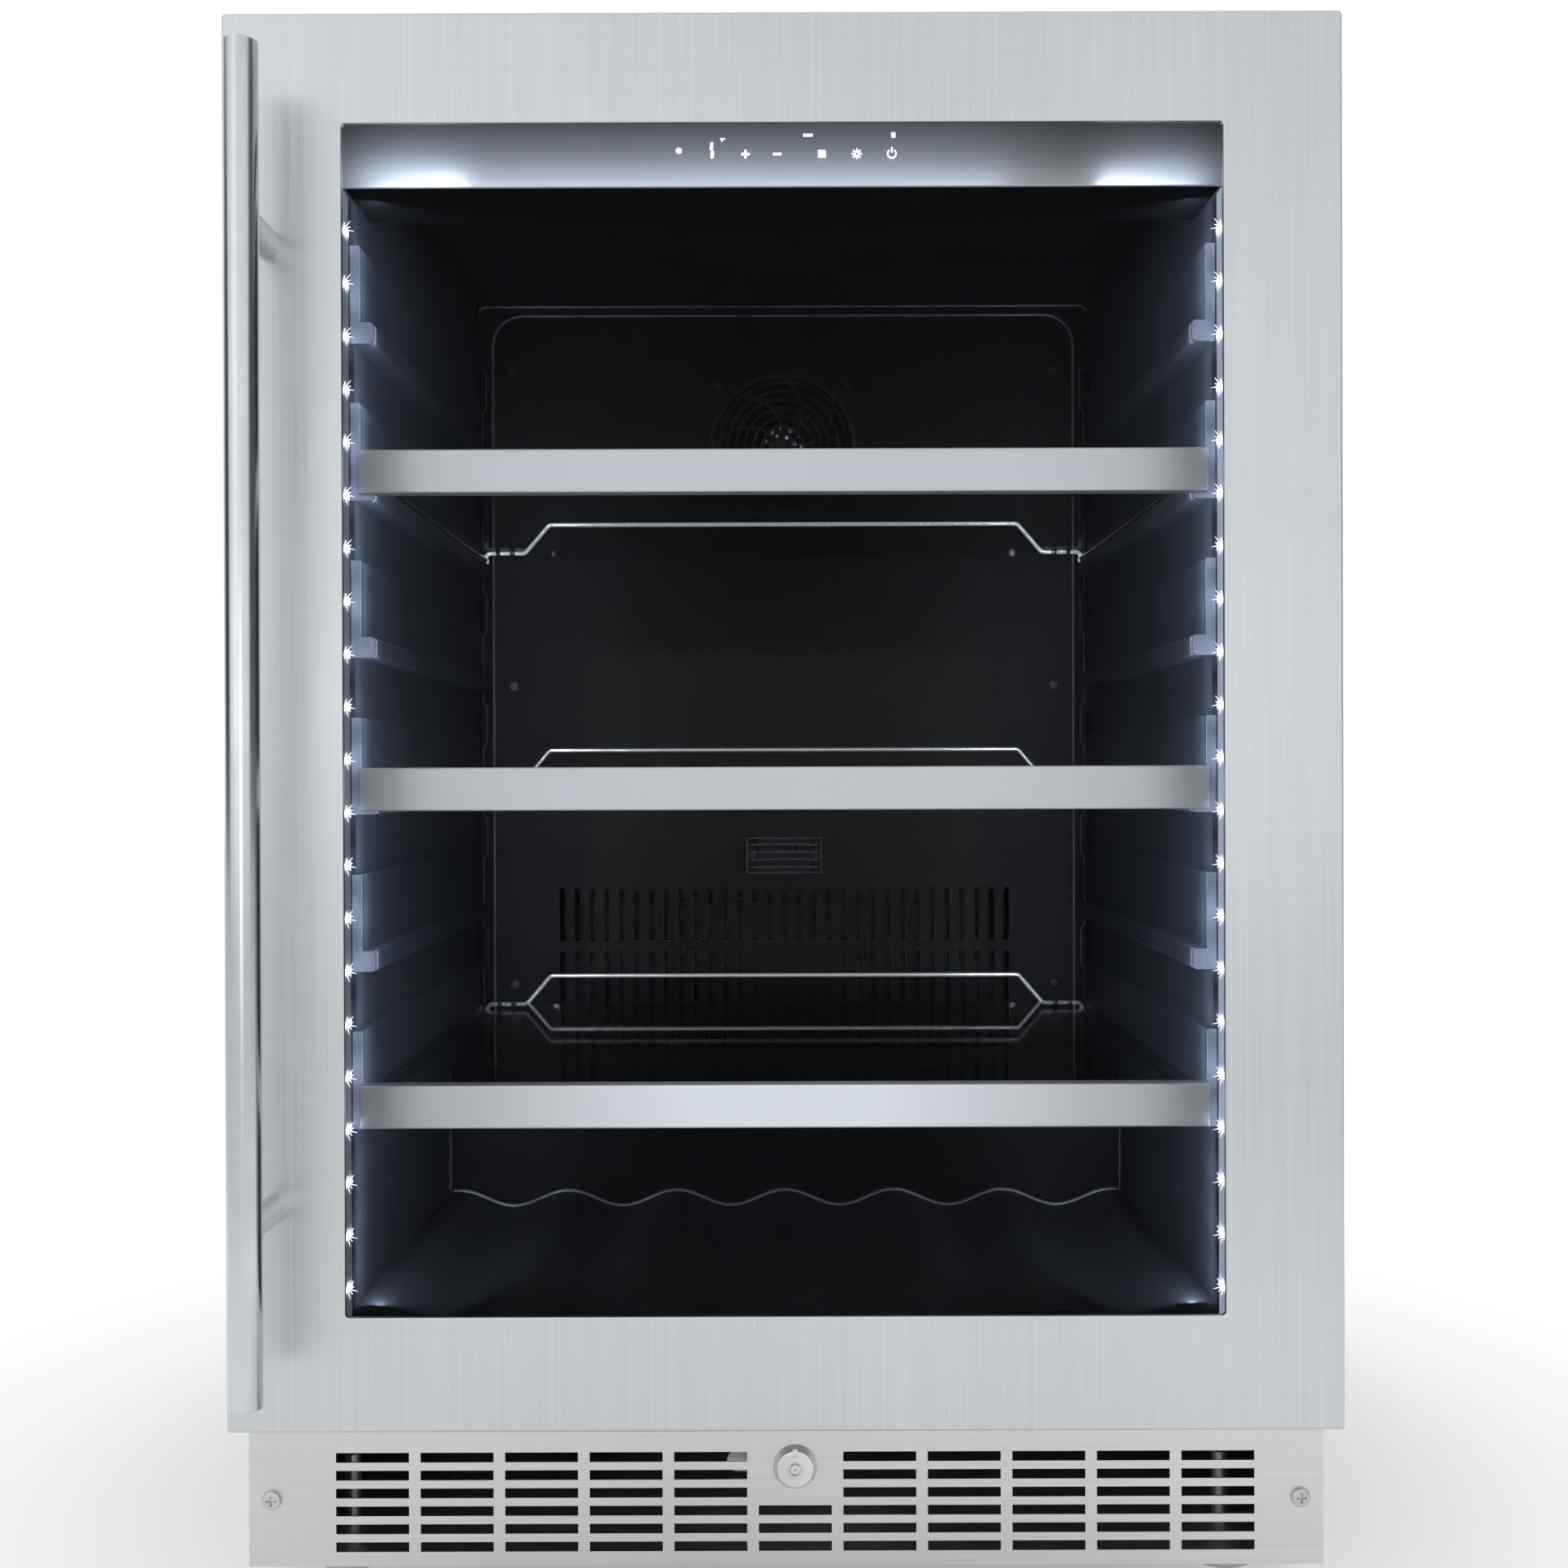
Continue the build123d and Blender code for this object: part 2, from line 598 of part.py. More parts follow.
def compressor():
    """Sealed steel can on a foot plate, with a terminal box on its side."""
    can = rod_z(COMPRESSOR_R, COMPRESSOR_LOW, COMPRESSOR_HIGH, COMPRESSOR_X, MACHINE_Y)
    rims = can.edges().filter_by(GeomType.CIRCLE)
    can = fillet(rims, 26.0)
    can += rod_z(COMPRESSOR_R + 3, 106, 110, COMPRESSOR_X, MACHINE_Y)
    can += box(COMPRESSOR_X - MOUNT_X - 12, COMPRESSOR_X + MOUNT_X + 12, MACHINE_Y - MOUNT_Y - 12,
               MACHINE_Y + MOUNT_Y + 12, COMPRESSOR_LOW - 3, COMPRESSOR_LOW + 1)
    return can + box(COMPRESSOR_X + 50, COMPRESSOR_X + 78, MACHINE_Y - 25, MACHINE_Y + 25, 75, 130)


def compressor_mounts():
    """Four rubber feet between the compressor and the base pan."""
    feet = []
    for x in (COMPRESSOR_X - MOUNT_X, COMPRESSOR_X + MOUNT_X):
        for y in (MACHINE_Y - MOUNT_Y, MACHINE_Y + MOUNT_Y):
            foot = rod_z(MOUNT_R, PAN_TOP, COMPRESSOR_LOW - 3, x, y)
            neck = rod_z(MOUNT_R + 1, PAN_TOP + 6, PAN_TOP + 9, x, y)
            waist = rod_z(MOUNT_R - 2, PAN_TOP + 6, PAN_TOP + 9, x, y)
            feet.append(foot - (neck - waist))
    return together(feet)


def condenser_coil():
    """Finned tube block beside its fan."""
    near, back = MACHINE_Y - 56, MACHINE_Y + 56
    fins = [box(x - 0.4, x + 0.4, near, back, 32, 160) for x in range(-180, -55, 10)]
    tubes = [rod_x(4, -186, -60, near + 18 + 25.5 * column, 46 + 25 * row)
             for column in range(4) for row in range(5)]
    feet = [box(x - 5, x + 5, near + 6, back - 6, PAN_TOP, 34) for x in (-170, -70)]
    return Compound(children=[(fins[0] + fins[1:] + tubes + feet).solid()])


def condenser_fan_frame():
    """Square duct with four arms that carry the motor."""
    middle, half = MACHINE_Y, BLOWER_HALF
    low, high = BLOWER_Z - half, BLOWER_Z + half
    frame = box(BLOWER_LEFT, BLOWER_RIGHT, middle - half, middle + half, low, high)
    frame -= rod_x(BLOWER_R + 3, BLOWER_LEFT - 1, BLOWER_RIGHT + 1, middle, BLOWER_Z)
    arms = [Pos(0, middle, BLOWER_Z) * Rot(turn, 0, 0)
            * box(BLOWER_RIGHT - 5, BLOWER_RIGHT, 0, BLOWER_R + 4, -4, 4) for turn in range(45, 360, 90)]
    motor = rod_x(20, BLOWER_RIGHT - 5, BLOWER_RIGHT + 14, middle, BLOWER_Z)
    bore = rod_x(SHAFT_BORE_R, BLOWER_RIGHT - 6, BLOWER_RIGHT + 5, middle, BLOWER_Z)
    feet = [box(BLOWER_LEFT, BLOWER_RIGHT, y - 8, y + 8, PAN_TOP, low) for y in (middle - 50, middle + 50)]
    return frame + arms + motor + feet - bore


def condenser_fan_rotor():
    wheel = fan_wheel(BLOWER_R, 18.0, 14.0, 26.0, 5, 9.0)
    return Pos(BLOWER_RIGHT - 13.5, MACHINE_Y, BLOWER_Z) * Rot(0, 90, 0) * wheel


def refrigerant_lines():
    """Copper lines and the filter drier that join the compressor and the two coils."""
    level = 186.0
    (liquid_x, back), (suction_x, _) = RISERS
    discharge = tube([(96, 250, 150), (96, 250, level), (-120, 250, level), (-120, 250, 160)], LINE_R, 9)
    liquid = tube([(-186, 200, 71), (-208, 200, 71), (-208, 200, level), (liquid_x, back, level),
                   (liquid_x, back, 306)], LINE_R, 9)
    drier = fillet(rod_z(9, 95, 155, -208, 200).edges().filter_by(GeomType.CIRCLE), 4)
    suction = tube([(110, 215, 150), (110, 215, level), (suction_x, back, level),
                    (suction_x, back, 306)], LINE_R, 9)
    lines = [discharge, liquid + drier, suction]
    coils = compressor() + condenser_coil()
    return together([line - coils for line in lines])


def condensate_pan():
    """Open tray in front of the machine space that catches melt water."""
    tray = box(-120, 120, -60, 60, PAN_TOP, 44)
    tray = fillet(tray.edges().filter_by(Axis.Z), 12)
    well = box(-118, 118, -58, 58, PAN_TOP + 2, 45)
    return tray - fillet(well.edges().filter_by(Axis.Z), 10)


def machine_rear_cover():
    """Louvred cover over the back of the machine space, with a hole for the power inlet."""
    half = CABINET_HALF - SHEET
    sheet = box(-half, half, COVER_BACK - SHEET, COVER_BACK, PAN_BOTTOM, REAR_DECK_TOP - SHEET)
    sheet -= box(INLET_X - 15.5, INLET_X + 15.5, COVER_BACK - 2, COVER_BACK + 1,
                 INLET_Z - 11.5, INLET_Z + 11.5)
    return sheet - [box(x - 32, x + 32, COVER_BACK - 2, COVER_BACK + 1, z, z + 4)
                    for x in (-120, -30, 60, 150) for z in range(50, 170, 12)]


def cord_inlet():
    """Recessed power inlet with three blades."""
    flange = box(INLET_X - 25, INLET_X + 25, COVER_BACK, CABINET_BACK, INLET_Z - 14, INLET_Z + 14)
    body = box(INLET_X - 15, INLET_X + 15, COVER_BACK - 22, COVER_BACK, INLET_Z - 11, INLET_Z + 11)
    inlet = flange + body
    inlet -= box(INLET_X - 12, INLET_X + 12, COVER_BACK - 17, CABINET_BACK + 1, INLET_Z - 8, INLET_Z + 8)
    return inlet + [box(INLET_X + x - 1, INLET_X + x + 1, COVER_BACK - 17, COVER_BACK - 4,
                        INLET_Z + z - 2, INLET_Z + z + 2) for x, z in ((-7, -2), (0, 3), (7, -2))]


# ---- Kick plate, lock and legs


def kick_plate():
    """Grille sheet with folded sides; its middle column is cut short to leave room for the lock."""
    sheet = box(-CABINET_HALF, CABINET_HALF, KICK_FRONT, CABINET_FRONT, PAN_BOTTOM, KICK_TOP)
    inner = CABINET_HALF - KICK_SHEET
    sheet = fillet(sheet.edges().filter_by(Axis.Z).sort_by(Axis.Y)[:2], 1.0)
    sheet -= box(-inner, inner, KICK_FRONT + KICK_SHEET, CABINET_FRONT + 1, PAN_BOTTOM - 1, KICK_TOP + 1)
    slots = []
    for column in range(VENT_COLUMNS):
        x = LOCK_X + VENT_PITCH * (column - VENT_COLUMNS // 2)
        first = VENT_ROWS // 2 if column == VENT_COLUMNS // 2 else 0
        for row in range(first, VENT_ROWS):
            z = VENT_TOP_ROW - VENT_ROW_PITCH * row
            slots.append(box(x - VENT_WIDE / 2, x + VENT_WIDE / 2, KICK_FRONT - 1,
                             KICK_FRONT + KICK_SHEET + 1, z - VENT_HIGH / 2, z + VENT_HIGH / 2))
    holes = [rod_y(KICK_SCREW_R + 0.2, KICK_FRONT - 1, KICK_FRONT + 2, side * KICK_SCREW_X, KICK_SCREW_Z)
             for side in (-1, 1)]
    return sheet - slots - holes - rod_y(BARREL_R, KICK_FRONT - 1, KICK_FRONT + 2, LOCK_X, LOCK_Z)


def pan_head_screws():
    """Kick plate screws and the screws that hold the hinges."""
    screws = [screw(side * KICK_SCREW_X, KICK_SCREW_Z, KICK_FRONT, KICK_HEAD_R, 2.6, KICK_SCREW_R, 8)
              for side in (-1, 1)]
    seat = CABINET_FRONT - TAB_THICK / 2
    screws += [screw(x, z, seat, HINGE_SCREW_HEAD_R, TAB_THICK / 2, HINGE_SCREW_R, 3.2)
               for x, z in HINGE_SCREWS]
    return together(screws)


def lock_escutcheon():
    """Turned collar on the kick plate, with its barrel and the nut behind the sheet."""
    near = KICK_FRONT - LOCK_PROUD
    cone = Cone(LOCK_RING_R, LOCK_NOSE_R, LOCK_PROUD)
    collar = Pos(LOCK_X, (near + KICK_FRONT) / 2, LOCK_Z) * Rot(90, 0, 0) * cone
    collar = fillet(collar.edges().filter_by(GeomType.CIRCLE).sort_by(Axis.Y)[0], 1.0)
    collar += rod_y(BARREL_R, KICK_FRONT, CAM_NEAR - 1, LOCK_X, LOCK_Z)
    back = KICK_FRONT + KICK_SHEET
    collar += hexagon_y(13, back, back + 3.5, LOCK_X, LOCK_Z)
    collar -= rod_y(PLUG_BORE_R, near - 1, CAM_NEAR, LOCK_X, LOCK_Z)
    return collar - box(LOCK_X - 1.4, LOCK_X + 1.4, near - 1, near + 1.6,
                        LOCK_Z + 6.5, LOCK_Z + LOCK_NOSE_R + 1)


def lock_plug():
    """Turning plug with a ring-shaped keyway round a centre pin."""
    near = KICK_FRONT - LOCK_PROUD + 0.4
    plug = rod_y(PLUG_R, near, CAM_NEAR, LOCK_X, LOCK_Z)
    keyway = rod_y(KEYWAY_R, near - 1, near + 4, LOCK_X, LOCK_Z)
    plug -= keyway - rod_y(KEYWAY_PIN_R, near - 2, near + 5, LOCK_X, LOCK_Z)
    plug -= box(LOCK_X - 0.9, LOCK_X + 0.9, near - 1, near + 4,
                LOCK_Z + KEYWAY_PIN_R, LOCK_Z + PLUG_R - 0.6)
    plug -= rod_y(0.9, near - 1, near + 3, LOCK_X, LOCK_Z)
    return plug + rod_y(CAM_BOLT_R, CAM_NEAR, CAM_NEAR + 6, LOCK_X, LOCK_Z)


def lock_cam():
    """Flat tongue that turns up into the door, with the nut that holds it."""
    reach = CAM_REACH - CAM_HALF_WIDE
    arm = Circle(8) + Pos(-reach, 0) * Circle(CAM_HALF_WIDE)
    arm += Pos(-reach / 2, 0) * Rectangle(reach, 2 * CAM_HALF_WIDE)
    cam = slab_y(Pos(LOCK_X, LOCK_Z) * arm, CAM_NEAR, CAM_NEAR + CAM_THICK)
    cam += hexagon_y(6, CAM_NEAR + CAM_THICK, CAM_NEAR + CAM_THICK + 2.6, LOCK_X, LOCK_Z)
    return cam - rod_y(CAM_BOLT_R, CAM_NEAR - 1, CAM_NEAR + 7, LOCK_X, LOCK_Z)


def leg(x, y):
    """Levelling leg: foot pad, hexagon for a spanner and threaded stem."""
    foot = fillet(rod_z(FOOT_R, 0, FOOT_HIGH, x, y).edges().filter_by(GeomType.CIRCLE), 2.0)
    collar = Pos(x, y, FOOT_HIGH) * extrude(RegularPolygon(8, 6), PAN_BOTTOM - NUT_HIGH - FOOT_HIGH - 0.3)
    return foot + collar + rod_z(LEG_R, FOOT_HIGH, LEG_TOP, x, y)


# ---- Hinges


def hinge_pockets():
    """Space cut into the top and bottom of the door round the hinge plates."""
    left, front = HINGE_X - HINGE_EYE_R - 1, HINGE_Y - HINGE_EYE_R - 6
    return [box(left, DOOR_HALF + 1, front, DOOR_BACK + 1, DOOR_TOP - HINGE_POCKET, DOOR_TOP + 1),
            box(left, DOOR_HALF + 1, front, DOOR_BACK + 1, DOOR_BOTTOM - 1, DOOR_BOTTOM + HINGE_POCKET)]


def hinge(plate_z, tab_low, tab_high, pin_low, pin_high):
    """Flat eye that carries the pin, bent up or down into a tab on the cabinet."""
    eye = Pos(HINGE_X, HINGE_Y) * Circle(HINGE_EYE_R)
    eye += Pos(HINGE_X, (HINGE_Y + CABINET_FRONT) / 2) * Rectangle(2 * HINGE_EYE_R - 1,
                                                                   CABINET_FRONT - HINGE_Y)
    plate = Pos(0, 0, plate_z) * extrude(eye, HINGE_PLATE)
    plate += box(TAB_LEFT, TAB_RIGHT, CABINET_FRONT - TAB_THICK, CABINET_FRONT, tab_low, tab_high)
    plate += rod_z(PIN_R, pin_low, pin_high, HINGE_X, HINGE_Y)
    seat = CABINET_FRONT - TAB_THICK
    for x, z in HINGE_SCREWS:
        plate -= rod_y(HINGE_SCREW_HEAD_R + 0.1, seat - 1, seat + TAB_THICK / 2, x, z)
        plate -= rod_y(HINGE_SCREW_R + 0.2, seat, CABINET_FRONT + 1, x, z)
    return plate


def hinge_top():
    plate = DOOR_TOP - 0.2 - HINGE_PLATE
    return hinge(plate, DOOR_TOP - TAB_HIGH, DOOR_TOP - 0.2, plate - PIN_LONG, plate)


def hinge_bottom():
    plate = DOOR_BOTTOM + 0.3
    return hinge(plate, plate, DOOR_BOTTOM + TAB_HIGH, plate + HINGE_PLATE,
                 plate + HINGE_PLATE + PIN_LONG)


# ---- Door


def strike_pocket():
    return box(STRIKE_LEFT, STRIKE_RIGHT, STRIKE_NEAR, DOOR_BACK + 1, DOOR_BOTTOM - 1, STRIKE_TOP)


def handle_studs(radius):
    return [rod_y(radius, DOOR_FRONT, DOOR_FRONT + STUD_LONG, HANDLE_X, z) for z in POST_HEIGHTS]


def door_skin():
    """Folded steel face with returned sides and a hemmed window."""
    block = box(-DOOR_HALF, DOOR_HALF, DOOR_FRONT, DOOR_BACK - 2, DOOR_BOTTOM, DOOR_TOP)
    block = fillet(block.edges().filter_by(Axis.Y), 2.0)
    block = fillet(block.faces().sort_by(Axis.Y)[0].edges(), 1.4)
    block -= box(-DOOR_HALF + SHEET, DOOR_HALF - SHEET, DOOR_FRONT + SHEET, DOOR_BACK,
                 DOOR_BOTTOM + SHEET, DOOR_TOP - SHEET)
    outer = panel(WINDOW_HALF + SHEET, WINDOW_LOW - SHEET, WINDOW_HIGH + SHEET, WINDOW_CORNER_R + SHEET)
    inner = panel(WINDOW_HALF, WINDOW_LOW, WINDOW_HIGH, WINDOW_CORNER_R)
    block -= slab_y(outer, DOOR_FRONT - 1, DOOR_FRONT + SHEET + 1)
    hem = slab_y(outer, DOOR_FRONT, PANE_FRONT) - slab_y(inner, DOOR_FRONT - 1, PANE_FRONT + 1)
    lip = hem.faces().sort_by(Axis.Y)[0].inner_wires()[0].edges()
    return block + fillet(lip, 0.7) - hinge_pockets() - strike_pocket() - handle_studs(STUD_R)


def door_inner_frame():
    """Foam-filled frame behind the skin: glass seat at the front, flared opening at the back."""
    wide = DOOR_HALF - SHEET
    frame = box(-wide, wide, DOOR_FRONT + SHEET, DOOR_BACK, DOOR_BOTTOM + SHEET, DOOR_TOP - SHEET)
    frame -= box(-PANE_HALF - 0.3, PANE_HALF + 0.3, DOOR_FRONT, PANE_BACK,
                 PANE_LOW - 0.3, PANE_HIGH + 0.3)
    ends = []
    for y, shape in ((PANE_BACK, FLARE_NEAR), (DOOR_BACK, FLARE_FAR)):
        plane = Plane(origin=(0, y, 0), x_dir=(1, 0, 0), z_dir=(0, -1, 0))
        ends.append(plane * panel(*shape))
    frame -= loft(ends)
    frame -= [rod_z(BUSH_R, DOOR_TOP - HINGE_POCKET - BUSH_LONG, DOOR_TOP, HINGE_X, HINGE_Y),
              rod_z(BUSH_R, DOOR_BOTTOM, DOOR_BOTTOM + HINGE_POCKET + BUSH_LONG, HINGE_X, HINGE_Y)]
    return frame - hinge_pockets() - strike_pocket() - handle_studs(STUD_R)


def door_glass_panes():
    """Two panes of an insulated glass unit."""
    front = box(-PANE_HALF, PANE_HALF, PANE_FRONT, PANE_FRONT + PANE_THICK, PANE_LOW, PANE_HIGH)
    rear = box(-PANE_HALF, PANE_HALF, PANE_BACK - PANE_THICK, PANE_BACK, PANE_LOW, PANE_HIGH)
    return together([front, rear])


def door_glass_spacer():
    """Hollow-bar frame that holds the panes apart."""
    outer = panel(PANE_HALF - SPACER_LIP, PANE_LOW + SPACER_LIP, PANE_HIGH - SPACER_LIP)
    edge = SPACER_LIP + SPACER_WIDE
    inner = panel(PANE_HALF - edge, PANE_LOW + edge, PANE_HIGH - edge)
    return slab_y(outer - inner, PANE_FRONT + PANE_THICK, PANE_BACK - PANE_THICK)


def door_gasket():
    """Magnetic seal with a soft bellows groove, just clear of the cabinet."""
    back = CABINET_FRONT - 0.3
    half, low, high = GASKET_IN
    ring = slab_y(panel(*GASKET_OUT, 6) - panel(*GASKET_IN, 3), DOOR_BACK, back)
    groove = panel(half + 10, low - 10, high + 10, 5) - panel(half + 6, low - 6, high + 6, 4)
    return ring - slab_y(groove, back - 2.5, back + 1)


def door_strike():
    """Steel cup in the foot of the door that the lock tongue turns up into."""
    cup = box(STRIKE_LEFT, STRIKE_RIGHT, STRIKE_NEAR, DOOR_BACK, DOOR_BOTTOM, STRIKE_TOP)
    return cup - box(STRIKE_LEFT + 1, STRIKE_RIGHT - 1, STRIKE_NEAR + 1, DOOR_BACK - 1.2,
                     DOOR_BOTTOM - 1, STRIKE_TOP - 1)


def hinge_bushings():
    """Plastic bushes that turn on the hinge pins."""
    lows = (DOOR_TOP - HINGE_POCKET - BUSH_LONG, DOOR_BOTTOM + HINGE_POCKET)
    return together([rod_z(BUSH_R, low, low + BUSH_LONG, HINGE_X, HINGE_Y)
                     - rod_z(BUSH_BORE_R, low - 1, low + BUSH_LONG + 1, HINGE_X, HINGE_Y)
                     for low in lows])


def handle_bar():
    bar = rod_z(HANDLE_R, HANDLE_LOW, HANDLE_HIGH, HANDLE_X, HANDLE_Y)
    return fillet(bar.edges().filter_by(GeomType.CIRCLE), 0.8)


def handle_posts():
    """Two posts that carry the handle bar, each with a stud into the door."""
    bar = rod_z(HANDLE_R, HANDLE_LOW, HANDLE_HIGH, HANDLE_X, HANDLE_Y)
    posts = [rod_y(POST_R, HANDLE_Y, DOOR_FRONT, HANDLE_X, z) - bar for z in POST_HEIGHTS]
    return together([post + stud for post, stud in zip(posts, handle_studs(STUD_R))])


# ---- Shelves


def shelf_trim(z):
    """Steel front bar with a groove for the glass."""
    back = SHELF_FRONT + TRIM_DEEP
    bar = box(-TRIM_HALF, TRIM_HALF, SHELF_FRONT, back, z - TRIM_HIGH / 2, z + TRIM_HIGH / 2)
    bar = fillet(bar.faces().sort_by(Axis.Y)[0].edges(), 1.2)
    low = z + SIDE_ROD_R
    return bar - box(-SHELF_GLASS_HALF, SHELF_GLASS_HALF, back - 6, back + 1,
                     low, low + SHELF_GLASS_THICK)


def shelf_glass(z):
    low = z + SIDE_ROD_R
    pane = box(-SHELF_GLASS_HALF, SHELF_GLASS_HALF, SHELF_FRONT + TRIM_DEEP - 6, SHELF_GLASS_BACK,
               low, low + SHELF_GLASS_THICK)
    return fillet(pane.faces().sort_by(Axis.Y)[-1].edges().filter_by(Axis.X), 1.0)


def shelf_wire(z):
    """Side rods under the glass, joined at the back by a wire guard that rises behind it."""
    rods = [rod_y(SIDE_ROD_R, SHELF_FRONT + TRIM_DEEP, GUARD_Y + SIDE_ROD_R, side * SIDE_ROD_X, z)
            for side in (-1, 1)]
    half = [(SIDE_ROD_X, z - 1), (SIDE_ROD_X - 1, z + 6), (208.6, z + 6), (188.8, z + 29)]
    corners = [(-x, height) for x, height in half] + half[::-1]
    guard = tube([(x, GUARD_Y, height) for x, height in corners], GUARD_R, 4.0)
    return rods[0] + rods[1] + guard


PIECES = {piece.__name__: piece for piece in (
    cabinet_shell, cabinet_back_panel, machine_deck, base_pan, foam_insulation, inner_liner,
    bottle_cradle, shelf_rail_left, shelf_rail_right, rail_end_caps, led_channels, led_chips,
    control_housing, control_fascia, control_board, evaporator_cover, cover_screws, fan_grille,
    evaporator_fan_motor, evaporator_fan_rotor, sensor_cover, evaporator_coil, compressor,
    compressor_mounts, condenser_coil, condenser_fan_frame, condenser_fan_rotor, refrigerant_lines,
    condensate_pan, machine_rear_cover, cord_inlet, kick_plate, pan_head_screws, lock_escutcheon,
    lock_plug, lock_cam, hinge_top, hinge_bottom, door_skin, door_inner_frame, door_glass_panes,
    door_glass_spacer, door_gasket, door_strike, hinge_bushings, handle_bar, handle_posts)}

os.makedirs("parts", exist_ok=True)
for name, make in PIECES.items():
    export_step(make(), f"parts/{name}.step")
for place, (x, y) in LEGS.items():
    export_step(leg(x, y), f"parts/leg_{place}.step")
for place, height in SHELVES.items():
    for piece in (shelf_trim, shelf_glass, shelf_wire):
        export_step(piece(height), f"parts/{place}_{piece.__name__}.step")
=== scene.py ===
"""Studio scene of a built-in wine cooler: finishes, lit keys, fine edges, lights, floor and camera."""
import json
from math import cos, pi, radians, sin, tau

import bmesh
import bpy
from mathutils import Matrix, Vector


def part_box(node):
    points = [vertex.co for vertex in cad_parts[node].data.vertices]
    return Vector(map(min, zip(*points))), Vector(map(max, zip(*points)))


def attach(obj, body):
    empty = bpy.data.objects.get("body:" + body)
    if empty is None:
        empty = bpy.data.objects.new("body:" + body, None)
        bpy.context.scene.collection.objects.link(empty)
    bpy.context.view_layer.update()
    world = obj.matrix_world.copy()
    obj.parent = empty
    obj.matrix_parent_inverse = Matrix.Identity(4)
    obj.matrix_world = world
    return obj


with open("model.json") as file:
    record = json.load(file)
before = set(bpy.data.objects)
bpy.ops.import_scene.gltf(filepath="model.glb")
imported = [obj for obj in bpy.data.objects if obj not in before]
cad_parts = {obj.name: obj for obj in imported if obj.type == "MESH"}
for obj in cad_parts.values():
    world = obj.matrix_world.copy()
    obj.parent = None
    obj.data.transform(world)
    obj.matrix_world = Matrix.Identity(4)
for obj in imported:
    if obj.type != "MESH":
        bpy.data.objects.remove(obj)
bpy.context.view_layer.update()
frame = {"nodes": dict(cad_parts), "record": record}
nodes = frame["nodes"]

# The viewer stands square in front of the door, at a little over half its height.
DOOR_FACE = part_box("door_skin")[0][1]
VIEW_DISTANCE = 0.960
VIEW_HEIGHT = 0.457
VIEW_DIP = 0.144
VIEW_ROLL = 0.18
LENS_MM = 41.35
SENSOR_MM = 36.0

# The emitters of the two light strips.
LED_FIRST = 0.169
LED_PITCH = 0.030
LED_COUNT = 21
LED_X = 0.2484

# The lit cavity: how the painted glow of the strips fades along its side walls, and the faint painted ambient
# glow within.
CAVITY_MOUTH = -0.200
WALL_FACE = 0.2488
RAIL_FACE = 0.2362
GLOW_START = -0.187
GLOW_REACH = 0.100
PULSE_REACH = 0.020
GLOW_POWER = 0.068
AMBIENT = 0.0016
EULER = 2.718


# ---------------------------------------------------------------- node helpers


